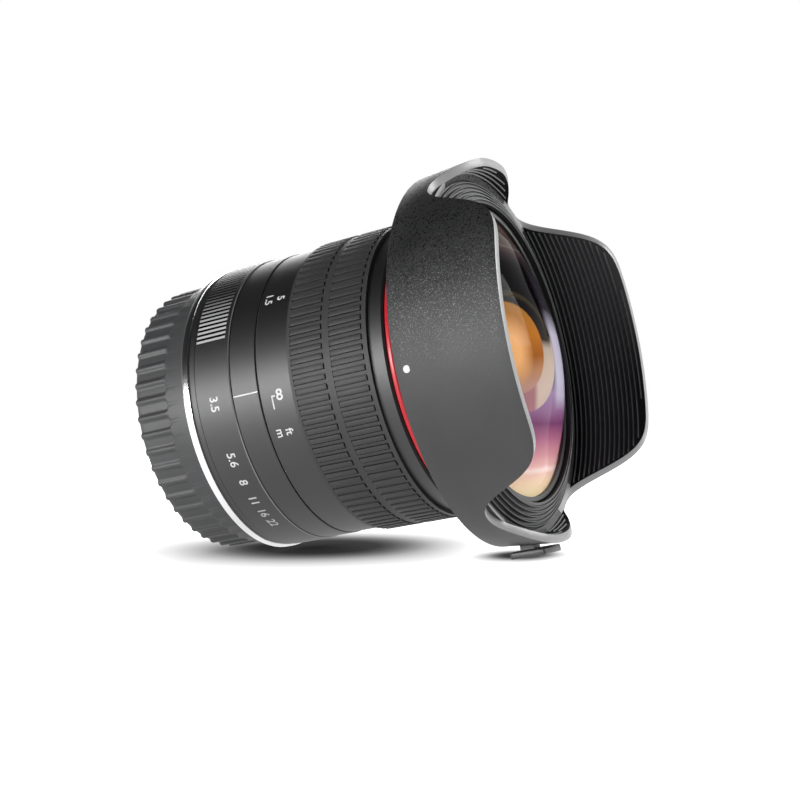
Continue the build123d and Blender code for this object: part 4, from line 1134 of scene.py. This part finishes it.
APERTURE_MARK_SIZE = 2.8 * MM
FOCUS_MARK_SIZE = 2.5 * MM
INFINITY_SIZE = 3.3 * MM
APERTURE_MARKS = (
    ("3.5", 7.2, 91.1), ("5.6", 7.8, 113.2), ("8", 7.9, 123.2), ("11", 7.8, 132.3), ("16", 7.8, 139.6),
    ("22", 7.8, 146.6),
)
FOCUS_MARKS = (
    ("5", 23.5, 53.1), ("1.5", 20.5, 52.4), ("3", 23.5, -8), ("1", 20.5, -8), ("2", 23.5, -20),
    ("0.6", 20.5, -20), ("1", 23.5, -31), ("0.3", 20.5, -31), ("ft", 23.1, 107), ("m", 20.9, 107),
)
for words, place, angle in APERTURE_MARKS:
    name = "aperture_mark_" + words.replace(".", "_")
    paint_text(name, words, place * MM, angle, APERTURE_MARK_SIZE, "aperture_ring")
for number, (words, place, angle) in enumerate(FOCUS_MARKS):
    paint_text(f"focus_mark_{number}", words, place * MM, angle, FOCUS_MARK_SIZE, "focus_ring")
paint_text("focus_mark_infinity", "8", 22.95 * MM, 92.9, INFINITY_SIZE, "focus_ring", QUARTER_TURN)


def paint_line(name, start, end, first_angle, last_angle, ring, body):
    """A painted line or bar on a ring, between two places and two angles."""
    sunk, thickness = 0.02 * MM, 0.045 * MM
    radius = measure(ring)[3]
    line = added(name, bpy.ops.mesh.primitive_grid_add, x_subdivisions=12, y_subdivisions=1, size=1)
    for vertex in line.data.vertices:
        share, across = vertex.co.x + 0.5, vertex.co.y + 0.5
        angle = first_angle + (last_angle - first_angle) * share
        vertex.co = outwards(angle) * (radius - sunk) + Vector((start + (end - start) * across, 0, 0))
    apply_modifier(line, "SOLIDIFY", thickness=thickness, offset=1)
    finish_with(line, white_paint)
    hand_over(line, body, "white_paint")


INDEX_ANGLE, INDEX_HALF = 90, 0.22
INDEX_REAR_GAP, INDEX_FRONT_GAP = 0.15 * MM, 0.12 * MM
index_rear, index_front, _, _ = measure("index_ring")
for line in (
    ("index_line", index_rear + INDEX_REAR_GAP, index_front - INDEX_FRONT_GAP,
     INDEX_ANGLE - INDEX_HALF, INDEX_ANGLE + INDEX_HALF, "index_ring", "barrel"),
    ("infinity_stem", 21.0 * MM, 21.9 * MM, 92.6, 93.1, "focus_ring", "focus_ring"),
    ("infinity_foot", 21.0 * MM, 21.3 * MM, 92.6, 97.8, "focus_ring", "focus_ring"),
):
    paint_line(*line)


# Finishes of the imported nodes that still show

# Painted reflections on the inner elements, from bottom to top.
INNER_REFLECTION_COLOURS = [(0.0, (0.5, 0.6, 0.4)), (0.5, (0.85, 0.6, 0.35)), (1.0, (0.3, 0.35, 0.3))]
NODE_FINISHES = {
    "inner_metal": inner_metal, "steel": steel, "blade_steel": blade_steel, "brass": brass,
    "baffle_plastic": baffle_plastic, "black_metal": black_metal,
    "inner_glass": coated_glass("inner_reflection_paint", INNER_REFLECTION_COLOURS, 0.5),
}
for part in frame["record"]["subparts"]:
    node = frame["nodes"].get(part["node"])
    finish = NODE_FINISHES.get(part["material_slot"])
    if node is not None and not node.hide_render and finish is not None:
        node.data.materials.clear()
        node.data.materials.append(finish)


# Floor, lights and camera

FLOOR_SIZE = 6
FLOOR_GAP = 0.0001
FLOOR_UP = Vector((0.1864, 0, 0.9825)).normalized()
FLOOR_POINT = Vector((-0.0142, 0, -0.0303))
SHADOW_REACH = 1.4
# Painted shadow: middles and reaches of the dark patches under the lens and its hood.
LENS_SHADOW_PATCH = ((0.019, 0.007), (0.033, 0.038))
HOOD_SHADOW_PATCH = ((0.069, 0.008), (0.009, 0.013))
FLOOR_SHADOW_GLOW = [
    (0.0, 0.01), (0.29, 0.02), (0.36, 0.05), (0.43, 0.12), (0.5, 0.23), (0.57, 0.4), (0.71, 0.67),
    (0.86, 0.88), (1.0, 1.0),
]
FLOOR_SHADOW_COLOURS = [
    (0.0, 0.03), (0.29, 0.05), (0.43, 0.12), (0.57, 0.25), (0.71, 0.4), (0.86, 0.65), (1.0, 0.9),
]


def lay_floor():
    """White floor, with a painted shadow where the lens and its hood rest on it."""
    floor = added("studio_floor", bpy.ops.mesh.primitive_plane_add, size=FLOOR_SIZE)
    floor.rotation_euler = (0, math.atan2(FLOOR_UP.x, FLOOR_UP.z), 0)
    floor.location = FLOOR_POINT - FLOOR_UP * FLOOR_GAP
    finish = Finish("studio_white")
    distances = [
        finish.distance((*middle, 0), (1 / reach[0], 1 / reach[1], 0))
        for middle, reach in (LENS_SHADOW_PATCH, HOOD_SHADOW_PATCH)
    ]
    # Painted shadow: floor colour and glow fall off towards the lens and hood.
    off = finish.spread(finish.maths("MINIMUM", *distances), 0, SHADOW_REACH)
    finish.set(Base_Color=finish.ramp(off, FLOOR_SHADOW_COLOURS), Roughness=0.6, Specular_IOR_Level=0.0)
    path = finish.node("LightPath").outputs
    seen = finish.maths("MULTIPLY", path["Is Camera Ray"], finish.ramp(off, FLOOR_SHADOW_GLOW))
    mirrored = finish.maths("MAXIMUM", path["Is Glossy Ray"], path["Is Transmission Ray"])
    glow = finish.node("Emission")
    finish.feed(glow.inputs["Strength"], finish.maths("MAXIMUM", seen, mirrored))
    total = finish.node("AddShader")
    finish.feed(total.inputs[0], finish.shader.outputs[0])
    finish.feed(total.inputs[1], glow.outputs[0])
    finish.feed(finish.nodes["Material Output"].inputs["Surface"], total.outputs[0])
    floor.data.materials.append(finish.material)


SKY_LEAN = -0.45
SKY_COLOURS = [(0.0, 1), (0.4, 0.9), (0.6, 0.35), (0.72, 0.02), (1.0, 0.02)]


def light_sky():
    """White to the camera, and to gloss a pale wall low down under a dark ceiling."""
    world = bpy.data.worlds.new("studio_sky")
    bpy.context.scene.world = world
    world.use_nodes = True
    sky = Pattern(world.node_tree, "Generated")
    height = sky.maths("MULTIPLY_ADD", sky.along("Y"), SKY_LEAN, sky.along("Z"))
    colours = sky.ramp(sky.spread(height, -1, 1.4), SKY_COLOURS)
    seen = sky.node("LightPath").outputs["Is Camera Ray"]
    sky.feed(sky.nodes["Background"].inputs["Color"], sky.blended(seen, colours, (1, 1, 1, 1)))


LAMP_TARGET = Vector((0.035, 0, 0))


def hang_lamp(name, direction, distance, width, height, power):
    """A soft rectangular lamp that faces the lens."""
    spot = LAMP_TARGET + Vector(direction).normalized() * distance
    lamp = added(name, bpy.ops.object.light_add, type="AREA", location=spot)
    adjust(lamp.data, shape="RECTANGLE", size=width, size_y=height, energy=power)
    lamp.rotation_euler = (spot - LAMP_TARGET).to_track_quat("Z", "Y").to_euler()


def place_camera():
    """Camera of the photograph, found from the ellipses of the rings."""
    camera = adjust(bpy.data.cameras.new("photo_camera"), lens=67.5, sensor_width=36, clip_start=0.01)
    holder = bpy.data.objects.new("photo_camera", camera)
    bpy.context.scene.collection.objects.link(holder)
    back = Vector((0.4286, -0.9, -0.083)).normalized()
    right = Vector((0.1904, 0, 0.982)).cross(back).normalized()
    spot = Vector((0.1774, -0.2995, -0.0326))
    turn = Matrix((right, back.cross(right), back)).transposed().to_4x4()
    holder.matrix_world = Matrix.Translation(spot) @ turn
    bpy.context.scene.camera = holder


lay_floor()
light_sky()
hang_lamp("front_softbox", (-0.43, -0.9, 0.13), 0.9, 0.7, 0.26, 9.6)
hang_lamp("rear_softbox", (-0.43, 0.8, 0.46), 0.8, 0.5, 0.3, 3.2)
hang_lamp("overhead_fill", (0.5, -0.1, 1.0), 1.2, 0.7, 0.7, 0.6)
hang_lamp("rim_softbox", (0.8, 0.7, 0.35), 0.9, 0.4, 0.4, 4.5)
place_camera()
bpy.context.scene.view_settings.view_transform = "Standard"
